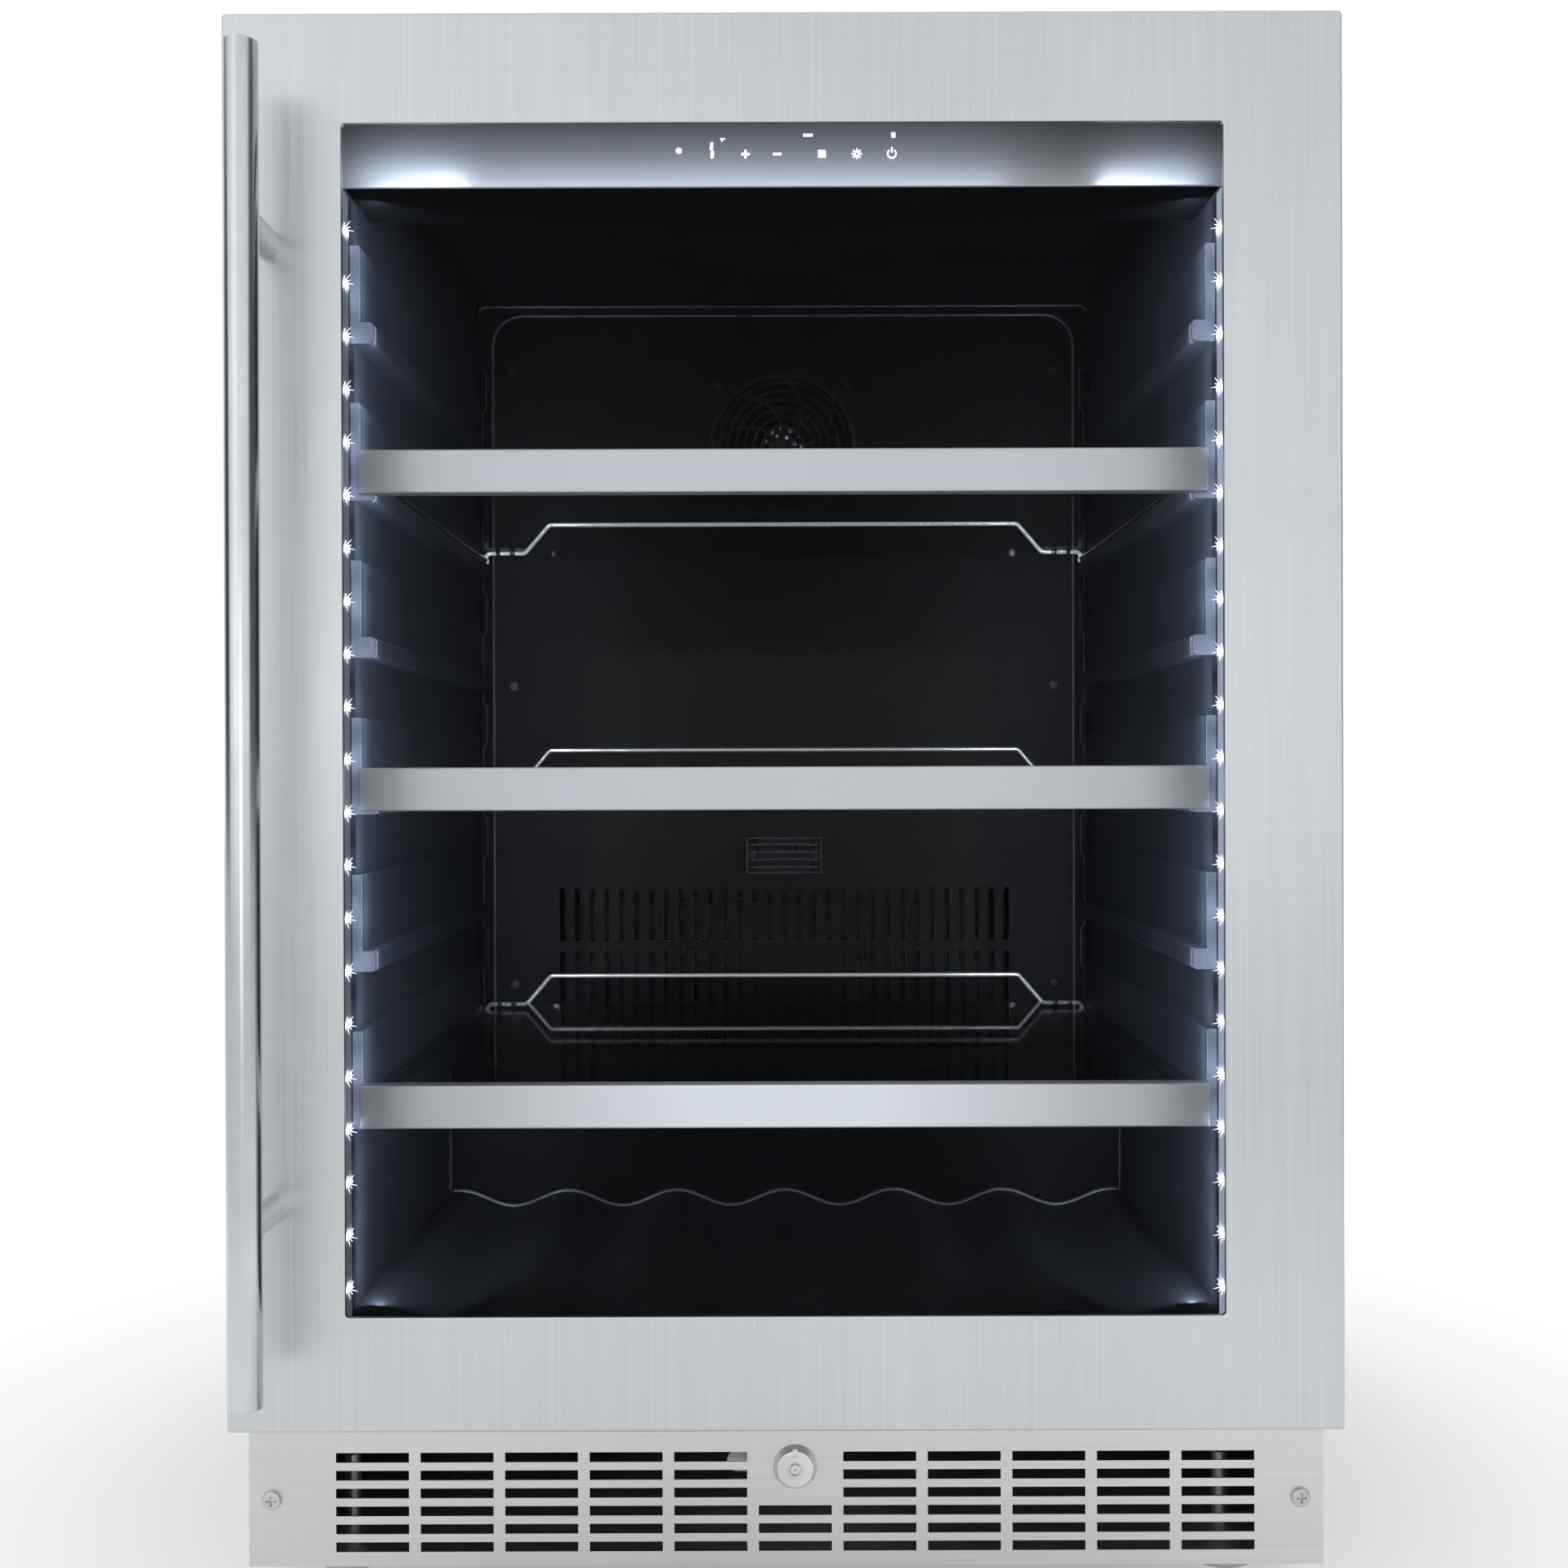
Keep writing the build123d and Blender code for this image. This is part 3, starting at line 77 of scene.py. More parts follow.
class Surface:
    """A Principled material, with short calls for the patterns that drive it."""

    def __init__(self, name, colour, metallic=0.0, roughness=0.5, **sockets):
        material = bpy.data.materials.new(name)
        material.use_nodes = True
        self.take(material)
        self.put("Base Color", (*colour, 1.0))
        self.put("Metallic", metallic)
        self.put("Roughness", roughness)
        for socket, value in sockets.items():
            self.put(socket.replace("_", " "), value)

    def take(self, material):
        self.mat = material
        self.tree = material.node_tree
        self.shader = self.tree.nodes["Principled BSDF"]
        self.place = self.node("ShaderNodeTexCoord").outputs["Object"]

    def node(self, kind, **settings):
        made = self.tree.nodes.new(kind)
        for key, value in settings.items():
            setattr(made, key, value)
        return made

    def link(self, source, target):
        self.tree.links.new(source, target)

    def put(self, socket, value):
        """A plain number or colour is set on the shader; a socket is linked to it."""
        target = self.shader.inputs[socket]
        if isinstance(value, bpy.types.NodeSocket):
            self.link(value, target)
        else:
            target.default_value = value

    def stretched(self, scale):
        mapping = self.node("ShaderNodeMapping")
        mapping.inputs["Scale"].default_value = scale
        self.link(self.place, mapping.inputs["Vector"])
        return mapping.outputs["Vector"]

    def noise(self, scale, detail=3.0, rough=0.55):
        """Cloudy pattern with a different fineness along X, Y and Z, in cycles per metre."""
        texture = self.node("ShaderNodeTexNoise")
        texture.inputs["Scale"].default_value = 1.0
        texture.inputs["Detail"].default_value = detail
        texture.inputs["Roughness"].default_value = rough
        self.link(self.stretched(scale), texture.inputs["Vector"])
        return texture.outputs["Fac"]

    def cells(self, scale):
        texture = self.node("ShaderNodeTexVoronoi")
        texture.inputs["Scale"].default_value = 1.0
        self.link(self.stretched(scale), texture.inputs["Vector"])
        return texture.outputs["Distance"]

    def ranged(self, source, low, high, start=0.3, end=0.7):
        """Source values from start to end, spread between low and high."""
        spread = self.node("ShaderNodeMapRange")
        for socket, value in zip(("From Min", "From Max", "To Min", "To Max"), (start, end, low, high)):
            spread.inputs[socket].default_value = value
        self.link(source, spread.inputs["Value"])
        return spread.outputs["Result"]

    def maths(self, kind, first, second=0.0):
        node = self.node("ShaderNodeMath", operation=kind)
        for socket, value in zip(node.inputs, (first, second)):
            if isinstance(value, bpy.types.NodeSocket):
                self.link(value, socket)
            else:
                socket.default_value = value
        return node.outputs["Value"]

    def total(self, first, *others):
        for other in others:
            first = self.maths("ADD", first, other)
        return first

    def product(self, first, *others):
        for other in others:
            first = self.maths("MULTIPLY", first, other)
        return first

    def blend(self, share, first, second):
        """Colour between first and second by share."""
        mix = self.node("ShaderNodeMix", data_type="RGBA")
        self.link(share, mix.inputs["Factor"])
        for socket, colour in zip(("A", "B"), (first, second)):
            target = [s for s in mix.inputs if s.name == socket and s.type == "RGBA"][0]
            if isinstance(colour, bpy.types.NodeSocket):
                self.link(colour, target)
            else:
                target.default_value = (*colour, 1.0)
        return [s for s in mix.outputs if s.type == "RGBA"][0]

    def bump(self, source, strength, depth):
        node = self.node("ShaderNodeBump")
        node.inputs["Strength"].default_value = strength
        node.inputs["Distance"].default_value = depth
        self.link(source, node.inputs["Height"])
        self.put("Normal", node.outputs["Normal"])

    def shade(self, share, first, second):
        """Sends a blend of two shaders to the output."""
        mix = self.node("ShaderNodeMixShader")
        self.link(share, mix.inputs["Fac"])
        self.link(first, mix.inputs[1])
        self.link(second, mix.inputs[2])
        output = self.tree.nodes["Material Output"]
        self.link(mix.outputs["Shader"], output.inputs["Surface"])

    def along(self, axis):
        """Position along one axis, in metres."""
        split = self.node("ShaderNodeSeparateXYZ")
        self.link(self.place, split.inputs["Vector"])
        return split.outputs[axis]

    def sideways(self):
        """Distance from the middle of the cooler, to the left or right."""
        return self.maths("ABSOLUTE", self.along("X"))

    def led_wave(self):
        """One beside each emitter, and minus one half way between two."""
        height = self.maths("SUBTRACT", self.along("Z"), LED_FIRST)
        return self.maths("COSINE", self.product(height, tau / LED_PITCH))

    def led_spots(self, sharpness):
        """The same wave from zero to one, drawn in to spots."""
        return self.maths("POWER", self.ranged(self.led_wave(), 0.0, 1.0, -1.0, 1.0), sharpness)

    def fading(self, distance, reach):
        return self.maths("POWER", EULER, self.maths("DIVIDE", distance, -reach))


def opened(material):
    """Surface helpers around a Principled material that exists already."""
    surface = Surface.__new__(Surface)
    surface.take(material)
    return surface


# ---------------------------------------------------------------- finishes


def brushed_metal(name, light, dark, roughness, grain, cross=0.25, anisotropic=0.5, metallic=1.0,
                  relief=0.10):
    """Brushed steel. grain gives cycles per metre along X, Y and Z, lowest along the strokes."""
    low, high = roughness
    steel = Surface(name, light, metallic=metallic, roughness=low, Anisotropic=anisotropic)
    strokes = steel.noise(grain, detail=5.0, rough=0.7)
    across = steel.noise((grain[2], grain[1], grain[0]), detail=4.0, rough=0.7)
    clouds = steel.noise((5.0, 5.0, 3.0))
    smears = steel.noise((16.0, 16.0, 9.0), detail=6.0, rough=0.7)
    weave = steel.total(steel.product(strokes, 1.0 - cross), steel.product(across, cross))
    tone = steel.total(steel.product(weave, 0.7), steel.product(clouds, 0.3))
    steel.put("Base Color", steel.blend(steel.ranged(tone, 0.0, 1.0, 0.36, 0.64), dark, light))
    steel.put("Roughness", steel.total(steel.ranged(weave, low, high), steel.ranged(smears, -0.02, 0.05)))
    steel.bump(weave, relief, 0.0002)
    return steel.mat


def polished_metal(name, light, dark, roughness):
    """Smooth metal with faint drawing marks and a little tarnish."""
    low, high = roughness
    metal = Surface(name, light, metallic=1.0, roughness=low)
    marks = metal.noise((900.0, 900.0, 40.0), detail=4.0, rough=0.65)
    stain = metal.noise((30.0, 30.0, 22.0), detail=5.0)
    metal.put("Base Color", metal.blend(metal.ranged(stain, 0.0, 1.0), light, dark))
    metal.put("Roughness", metal.total(metal.ranged(marks, low, high), metal.ranged(stain, 0.0, 0.04)))
    metal.bump(marks, 0.05, 0.0001)
    return metal.mat


def plated_metal(name, light, dark, roughness=(0.30, 0.48)):
    """Zinc plate: crystalline patches and dull wear."""
    low, high = roughness
    zinc = Surface(name, light, metallic=0.9, roughness=low)
    spangle = zinc.cells((95.0, 95.0, 95.0))
    cloud = zinc.noise((11.0, 11.0, 11.0), detail=6.0, rough=0.65)
    share = zinc.total(zinc.ranged(spangle, 0.0, 0.5, 0.1, 0.8), zinc.ranged(cloud, 0.0, 0.5))
    zinc.put("Base Color", zinc.blend(share, light, dark))
    zinc.put("Roughness", zinc.ranged(cloud, low, high))
    zinc.bump(zinc.noise((420.0, 420.0, 420.0)), 0.08, 0.0003)
    return zinc.mat


def textured_coat(name, colour, lift, roughness, grain, strength=0.15, depth=0.0002, level=0.5):
    """Powder coat or moulded plastic: fine pebbled skin, faint cloudy sheen and dust."""
    low, high = roughness
    coat = Surface(name, colour, roughness=low, Specular_IOR_Level=level)
    pebble = coat.noise((grain, grain, grain), detail=2.0)
    cloud = coat.noise((6.0, 6.0, 6.0), detail=5.0, rough=0.6)
    fine = coat.noise((55.0, 55.0, 55.0), detail=6.0, rough=0.7)
    dust = coat.product(coat.ranged(cloud, 0.0, 1.0, 0.35, 0.75), coat.ranged(fine, 0.2, 1.0, 0.35, 0.7))
    coat.put("Base Color", coat.blend(dust, colour, lift))
    coat.put("Roughness", coat.total(coat.ranged(cloud, low, high), coat.ranged(pebble, -0.03, 0.03)))
    coat.bump(pebble, strength, depth)
    return coat.mat


def sleeved_copper(name):
    """Tarnished copper pipe, in a black foam sleeve above the machine space."""
    fresh, tarnished, sleeve_black = (0.80, 0.42, 0.26), (0.45, 0.22, 0.13), (0.008, 0.008, 0.009)
    pipe = Surface(name, fresh, metallic=1.0, roughness=0.3)
    sleeve = pipe.ranged(pipe.along("Z"), 0.0, 1.0, 0.196, 0.198)
    stain = pipe.noise((30.0, 30.0, 22.0), detail=5.0)
    bare = pipe.blend(pipe.ranged(stain, 0.0, 1.0), fresh, tarnished)
    pipe.put("Base Color", pipe.blend(sleeve, bare, sleeve_black))
    pipe.put("Metallic", pipe.ranged(sleeve, 1.0, 0.0, 0.0, 1.0))
    pipe.put("Roughness", pipe.total(pipe.ranged(stain, 0.22, 0.42), pipe.product(sleeve, 0.4)))
    pipe.bump(pipe.noise((600.0, 600.0, 600.0)), 0.1, 0.0002)
    return pipe.mat


def soft_rubber(name):
    """Matt black extrusion with a grey bloom."""
    rubber = Surface(name, (0.015, 0.015, 0.016), roughness=0.7, Sheen_Weight=0.15)
    bloom = rubber.noise((70.0, 70.0, 25.0), detail=6.0, rough=0.7)
    rubber.put("Base Color", rubber.blend(rubber.ranged(bloom, 0.0, 1.0), (0.012, 0.012, 0.013),
                                          (0.035, 0.035, 0.037)))
    rubber.put("Roughness", rubber.ranged(bloom, 0.58, 0.82))
    rubber.bump(rubber.noise((900.0, 900.0, 900.0)), 0.15, 0.0002)
    return rubber.mat


def clear_glass(name, tint, square, slanted):
    """Thin pane: light goes straight through, tinted. It mirrors a share square on, more at a slant."""
    haze = 0.01
    glass = Surface(name, tint, roughness=haze)
    smear = glass.noise((9.0, 9.0, 5.0), detail=6.0, rough=0.7)
    through = glass.node("ShaderNodeBsdfTransparent")
    through.inputs["Color"].default_value = (*tint, 1.0)
    gloss = glass.node("ShaderNodeBsdfGlossy")
    glass.link(glass.ranged(smear, haze, haze + 0.05), gloss.inputs["Roughness"])
    slant = glass.node("ShaderNodeLayerWeight")
    slant.inputs["Blend"].default_value = 0.5
    rise = glass.maths("POWER", slant.outputs["Facing"], 5.0)
    glass.shade(glass.ranged(rise, square, slanted, 0.0, 1.0), through.outputs["BSDF"], gloss.outputs["BSDF"])
    glass.tree.nodes.remove(glass.shader)
    return glass.mat


def frosted_cap(name):
    """Frosted ledge end with a painted pale blue glow, as if lit by the strip beside it: strongest beside
    each emitter and towards the wall.
    """
    cap = Surface(name, (0.20, 0.23, 0.30), roughness=0.4)
    cloud = cap.noise((120.0, 120.0, 60.0), detail=4.0)
    near = cap.ranged(cap.sideways(), 0.05, 0.50, 0.240, 0.249)
    pulse = cap.total(1.0, cap.product(cap.total(cap.led_wave(), 0.6), near))
    cap.put("Base Color", cap.blend(cap.ranged(cloud, 0.0, 1.0), (0.16, 0.18, 0.24), (0.24, 0.27, 0.34)))
    cap.put("Emission Color", (0.58, 0.68, 1.0, 1.0))
    cap.put("Emission Strength", cap.product(pulse, cap.ranged(cloud, 0.16, 0.22)))
    cap.put("Roughness", cap.ranged(cloud, 0.3, 0.5))
    cap.bump(cap.noise((1400.0, 1400.0, 1400.0)), 0.1, 0.0002)
    return cap.mat


def painted_glow_strip(name):
    """White circuit strip with a painted wash of light from its emitters: brightest beside each one, and on
    the right.
    """
    strip = Surface(name, (0.28, 0.31, 0.38), roughness=0.35)
    grain = strip.noise((300.0, 300.0, 300.0))
    right = strip.ranged(strip.along("X"), 0.0, 1.0, -0.01, 0.01)
    peak = strip.total(strip.product(right, 0.4), 0.45)
    floor_level = strip.total(strip.product(right, 0.28), 0.06)
    strip.put("Roughness", strip.ranged(grain, 0.3, 0.5))
    strip.put("Emission Color", (0.70, 0.80, 1.0, 1.0))
    strip.put("Emission Strength", strip.total(strip.product(strip.led_spots(9.0), peak), floor_level))
    strip.bump(grain, 0.1, 0.0002)
    return strip.mat


def emitter_face(name):
    """Emitter lens: white hot in its middle, dimmer towards its ends."""
    lens = Surface(name, (0.6, 0.66, 0.75), roughness=0.35)
    lens.put("Emission Color", (0.80, 0.88, 1.0, 1.0))
    lens.put("Emission Strength", lens.total(lens.product(lens.led_spots(60.0), 4.0), 0.4))
    lens.put("Roughness", lens.ranged(lens.noise((600.0, 600.0, 600.0)), 0.3, 0.5))
    return lens.mat


def glowing(name, colour, strength, spread=0.15):
    """Lit surface whose brightness varies a little from place to place."""
    lamp = Surface(name, colour, roughness=0.4)
    cloud = lamp.noise((600.0, 600.0, 600.0))
    lamp.put("Emission Color", (*colour, 1.0))
    lamp.put("Emission Strength", lamp.ranged(cloud, strength * (1 - spread), strength * (1 + spread)))
    lamp.put("Roughness", lamp.ranged(cloud, 0.3, 0.5))
    return lamp.mat


def circuit_board(name):
    """Green solder mask over square copper runs."""
    board = Surface(name, (0.02, 0.10, 0.05), roughness=0.35, Coat_Weight=0.4)
    runs = board.cells((220.0, 220.0, 220.0))
    board.put("Base Color", board.blend(board.ranged(runs, 0.0, 1.0, 0.2, 0.5), (0.05, 0.20, 0.10),
                                        (0.015, 0.08, 0.045)))
    board.put("Roughness", board.ranged(runs, 0.25, 0.45))
    board.bump(runs, 0.15, 0.0002)
    return board.mat


def rigid_foam(name):
    """Cut insulation foam with open cells."""
    foam = Surface(name, (0.75, 0.66, 0.40), roughness=0.9)
    pores = foam.cells((260.0, 260.0, 260.0))
    foam.put("Base Color", foam.blend(foam.ranged(pores, 0.0, 1.0, 0.1, 0.7), (0.55, 0.46, 0.26),
                                      (0.80, 0.71, 0.45)))
    foam.put("Roughness", foam.ranged(pores, 0.8, 1.0))
    foam.bump(pores, 0.4, 0.001)
    return foam.mat


UPRIGHT_GRAIN = (1500.0, 1500.0, 6.0)
LEVEL_GRAIN = (6.0, 1500.0, 1500.0)
PLASTIC_GRAIN = 1600.0
GLOSS_GRAIN = 900.0

FINISHES = {
    "brushed_steel": brushed_metal("brushed_steel", (0.66, 0.68, 0.69), (0.54, 0.56, 0.57),
                                   (0.26, 0.40), UPRIGHT_GRAIN),
    "satin_steel": brushed_metal("satin_steel", (0.65, 0.67, 0.69), (0.61, 0.63, 0.65), (0.30, 0.38),
                                 LEVEL_GRAIN, cross=0.1, anisotropic=0.2, metallic=0.5, relief=0.04),
    # Kick plate steel is coloured lighter than the door steel: painted light, making up for the shaded floor
    # it mirrors.
    "kick_steel": brushed_metal("kick_steel", (0.74, 0.73, 0.71), (0.60, 0.59, 0.58),
                                (0.30, 0.44), LEVEL_GRAIN),
    "handle_steel": polished_metal("handle_steel", (0.65, 0.67, 0.695), (0.58, 0.60, 0.62), (0.15, 0.20)),
    "bright_wire": polished_metal("bright_wire", (0.93, 0.94, 0.95), (0.82, 0.83, 0.85), (0.16, 0.26)),
    "lock_metal": polished_metal("lock_metal", (0.80, 0.80, 0.80), (0.66, 0.66, 0.66), (0.18, 0.30)),
    "zinc": plated_metal("zinc", (0.62, 0.63, 0.64), (0.48, 0.49, 0.47)),
    "black_paint": textured_coat("black_paint", (0.012, 0.012, 0.014), (0.035, 0.035, 0.038),
                                 (0.38, 0.50), 1100.0, strength=0.25, depth=0.0003),
    "black_plastic": textured_coat("black_plastic", (0.0045, 0.005, 0.0065), (0.012, 0.0135, 0.017),
                                   (0.34, 0.44), PLASTIC_GRAIN, level=0.13),
    "cover_screw": polished_metal("cover_screw", (0.030, 0.030, 0.034), (0.015, 0.015, 0.017), (0.25, 0.40)),
    "cap_clear": frosted_cap("cap_clear"),
    "strip_white": painted_glow_strip("strip_white"),
    "light": emitter_face("light"),
    "circuit": circuit_board("circuit"),
    "smoked_glass": clear_glass("smoked_glass", (0.83, 0.85, 0.87), 0.012, 0.75),
    "door_glass": clear_glass("door_glass", (0.985, 0.988, 0.99), 0.001, 0.60),
    "spacer_metal": polished_metal("spacer_metal", (0.08, 0.08, 0.085), (0.05, 0.05, 0.055), (0.3, 0.45)),
    "gasket_rubber": soft_rubber("gasket_rubber"),
    # Coils coloured near black: for the evaporator fins, which sit in the dark behind the cover slots, this
    # is a painted shade.
    "coil_metal": textured_coat("coil_metal", (0.0030, 0.0032, 0.0035), (0.012, 0.012, 0.013),
                                (0.50, 0.62), 1200.0, level=0.06),
    "copper": sleeved_copper("copper"),
    "foam": rigid_foam("foam"),
}


# ---------------------------------------------------------------- finishes of single parts


def painted_glow_wall(node, edge, level):
    """Plastic of a side wall with a painted glow for the light of the strips, strongest right behind them."""
    glow = opened(nodes[node].data.materials[0].copy())
    glow.mat.name = "lit_" + node
    glow.put("Specular IOR Level", level)
    side = glow.ranged(glow.sideways(), 0.0, 1.0, edge, edge + 0.0006)
    behind = glow.maths("SUBTRACT", glow.along("Y"), GLOW_START)
    pulse = glow.product(glow.led_wave(), glow.fading(behind, PULSE_REACH), 0.9)
    # Painted shade: the glow starts just inside the mouth, fades out under the control housing and falls to
    # half at the bottom.
    inside = glow.product(glow.ranged(glow.along("Y"), 0.0, 1.0, CAVITY_MOUTH, CAVITY_MOUTH + 0.004),
                          glow.ranged(glow.along("Z"), 1.0, 0.0, 0.78, 0.836),
                          glow.ranged(glow.along("Z"), 0.5, 1.0, 0.15, 0.28))
    cloud = glow.ranged(glow.noise((14.0, 14.0, 9.0), detail=5.0), 0.8, 1.2)
    strength = glow.product(side, inside, cloud, glow.fading(behind, GLOW_REACH), glow.total(1.0, pulse))
    # Painted ambient glow: faint emission that grows from the mouth to its full level 80 mm in.
    within = glow.ranged(glow.along("Y"), 0.0, AMBIENT, CAVITY_MOUTH, -0.12)
    coat = glow.shader.inputs["Base Color"].links[0].from_socket
    # Off the glowing face the plastic is coloured near black: a painted shade.
    glow.put("Base Color", glow.blend(side, (0.0012, 0.0014, 0.0018), coat))
    glow.put("Emission Color", (0.51, 0.67, 0.96, 1.0))
    glow.put("Emission Strength", glow.total(glow.product(strength, GLOW_POWER), glow.product(within, cloud)))
    return glow.mat


def control_steel(name):
    """Satin strip, darker towards its top, where the door frame keeps the light off it."""
    steel = opened(brushed_metal(name, (0.66, 0.68, 0.71), (0.60, 0.62, 0.65), (0.30, 0.42), LEVEL_GRAIN,
                                 cross=0.1, anisotropic=0.2, metallic=0.35, relief=0.06))
    bright = steel.shader.inputs["Base Color"].links[0].from_socket
    shadow = steel.ranged(steel.along("Z"), 0.0, 0.75, 0.800, 0.842)
    steel.put("Base Color", steel.blend(shadow, bright, (0.10, 0.105, 0.115)))
    return steel.mat


def painted_highlight_bar(name):
    """Satin bar with a wide painted highlight at its middle: lighter colour near the centre."""
    bar_steel = opened(FINISHES["satin_steel"].copy())
    bar_steel.mat.name = name
    away = bar_steel.ranged(bar_steel.sideways(), 0.0, 1.0, 0.05, 0.18)
    bar_steel.put("Base Color", bar_steel.blend(away, (0.90, 0.93, 0.96), (0.62, 0.63, 0.645)))
    return bar_steel.mat


def painted_glow_wire(name, painted_glow):
    """Bright wire whose rear guard carries a painted glow, standing in for the light of the strips."""
    wire = opened(polished_metal(name, (0.93, 0.94, 0.95), (0.82, 0.83, 0.85), (0.16, 0.26)))
    wire.put("Emission Color", (0.86, 0.92, 1.0, 1.0))
    wire.put("Emission Strength", wire.ranged(wire.along("Y"), 0.0, painted_glow, 0.229, 0.232))
    return wire.mat


def cavity_plastic(name, colour, lift, roughness, level):
    return textured_coat(name, colour, lift, roughness, PLASTIC_GRAIN, level=level)


for part in frame["record"]["subparts"]:
    mesh = nodes[part["node"]].data
    mesh.materials.clear()
    mesh.materials.append(FINISHES[part["material_slot"]])

OWN_FINISHES = {
    "control_fascia": control_steel("control_steel"),
    "bottom_shelf_trim": painted_highlight_bar("painted_highlight_bar"),
    "inner_liner": painted_glow_wall("inner_liner", WALL_FACE, 0.05),
    "shelf_rail_left": painted_glow_wall("shelf_rail_left", RAIL_FACE, 0.06),
    "shelf_rail_right": painted_glow_wall("shelf_rail_right", RAIL_FACE, 0.06),
    "top_shelf_wire": painted_glow_wire("top_wire_metal", 0.40),
    "middle_shelf_wire": painted_glow_wire("middle_wire_metal", 0.10),
    "bottom_shelf_wire": painted_glow_wire("bottom_wire_metal", 0.14),
    "top_shelf_glass": clear_glass("high_glass", (0.90, 0.92, 0.93), 0.004, 0.25),
    "bottle_cradle": cavity_plastic("cradle_plastic", (0.013, 0.015, 0.018), (0.026, 0.030, 0.036),
                                    (0.28, 0.38), 0.20),
    # The cover and housing plastics are coloured darker than the black plastic elsewhere: a painted shade.
    "evaporator_cover": cavity_plastic("cover_plastic", (0.0020, 0.0022, 0.0028), (0.0065, 0.0072, 0.009),
                                       (0.34, 0.44), 0.06),
    "control_housing": cavity_plastic("housing_plastic", (0.0026, 0.0030, 0.0038), (0.006, 0.007, 0.009),
                                      (0.40, 0.50), 0.04),
}
for node_name, finish in OWN_FINISHES.items():
    nodes[node_name].data.materials[0] = finish


# ---------------------------------------------------------------- mesh helpers


def finished(name, data, body, finish):
    """Puts a mesh in the scene as a piece that rides on a body."""
    data.materials.append(finish)
    piece = bpy.data.objects.new(name, data)
    bpy.context.scene.collection.objects.link(piece)
    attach(piece, body)


def drawn(name, mesh):
    """Mesh data from a bmesh, with its faces turned outwards."""
    bmesh.ops.recalc_face_normals(mesh, faces=mesh.faces)
    data = bpy.data.meshes.new(name)
    mesh.to_mesh(data)
    mesh.free()
    return data


# ---------------------------------------------------------------- lit touch keys


KEY_LIGHT = glowing("key_light", (0.93, 0.96, 1.0), 1.15)
KEY_DEPTH = 0.0002
KEY_ROW = 810.9
MARK_ROW = 821.5
KEY_SPAN = 4.8
KEY_STROKE = 1.26


def flat_piece(name, shapes):
    """Thin plate standing on the fascia. Each shape is a list of (x, z) corners in millimetres."""
    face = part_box("control_fascia")[0][1]
    mesh = bmesh.new()
    for shape in shapes:
        corners = [mesh.verts.new((x / 1000, face - KEY_DEPTH, z / 1000)) for x, z in shape]
        front = mesh.faces.new(corners)
        grown = bmesh.ops.extrude_face_region(mesh, geom=[front])
        for vert in grown["geom"]:
            if isinstance(vert, bmesh.types.BMVert):
                vert.co.y += KEY_DEPTH * 0.9
    finished(name, drawn(name, mesh), "cabinet", KEY_LIGHT)


def bar(x, z, wide, high, turn=0.0):
    """Corners of a bar centred on x and z, turned by an angle in degrees."""
    c, s = cos(radians(turn)), sin(radians(turn))
    corners = [(-wide / 2, -high / 2), (wide / 2, -high / 2), (wide / 2, high / 2), (-wide / 2, high / 2)]
    return [(x + u * c - v * s, z + u * s + v * c) for u, v in corners]


def disc(x, z, radius, count=20):
    return [(x + radius * cos(tau * k / count), z + radius * sin(tau * k / count)) for k in range(count)]


def arc_band(x, z, inner, outer, start, end, count=20):
    """Corners of a band that runs round an arc, in degrees from +X."""
    angles = [radians(start + (end - start) * k / count) for k in range(count + 1)]
    outside = [(x + outer * cos(a), z + outer * sin(a)) for a in angles]
    inside = [(x + inner * cos(a), z + inner * sin(a)) for a in reversed(angles)]
    return outside + inside


def ray_bar(x, z, angle):
    """One ray of a sun sign about x and z."""
    middle = 1.9
    return bar(x + middle * cos(radians(angle)), z + middle * sin(radians(angle)), 2.3, 0.75, angle)


flat_piece("key_dot", [disc(-58.4, KEY_ROW + 2, 1.7)])
flat_piece("display_digit", [bar(-39.9, KEY_ROW + 4.6, 1.7, 4.3, -4),
                             bar(-39.5, KEY_ROW - 0.2, 1.7, 4.3, -4)])
flat_piece("display_mark", [bar(-34.2, KEY_ROW + 8.2, 0.8, 2.2, 20), bar(-33.0, KEY_ROW + 8.6, 1.6, 0.7)])
flat_piece("key_plus", [bar(-20.7, KEY_ROW, KEY_SPAN, KEY_STROKE)]
           + [bar(-20.7, KEY_ROW + step, KEY_STROKE, 1.7) for step in (1.55, -1.55)])
flat_piece("key_minus", [bar(-2.8, KEY_ROW, KEY_SPAN, KEY_STROKE)])
flat_piece("menu_mark", [bar(14.7 + step, MARK_ROW, 1.5, 1.6) for step in (-1.9, 0.0, 1.9)])
flat_piece("key_menu", [bar(22.5, KEY_ROW + step, 4.4, 0.8) for step in (-1.7, -0.55, 0.6, 1.75)])
flat_piece("key_light_switch", [ray_bar(42.3, KEY_ROW, angle) for angle in range(0, 360, 45)])
flat_piece("key_power", [arc_band(62.1, KEY_ROW, 2.0, 2.8, 125, 415), bar(62.1, KEY_ROW + 2.2, 0.85, 3.0)])
flat_piece("power_mark", [bar(63.0, MARK_ROW + step, 2.4, 0.7) for step in (-1.1, 0.0, 1.1)])


# ---------------------------------------------------------------- fine edges in the cavity


# Bead plastic, lighter grey than the black plastic around it: a painted highlight along the edges; its gloss
# also catches the real lamps.
EDGE_HIGHLIGHT_PLASTIC = textured_coat("edge_highlight_plastic", (0.050, 0.056, 0.066), (0.09, 0.10, 0.115), (0.20, 0.30),
                              GLOSS_GRAIN, strength=0.08)
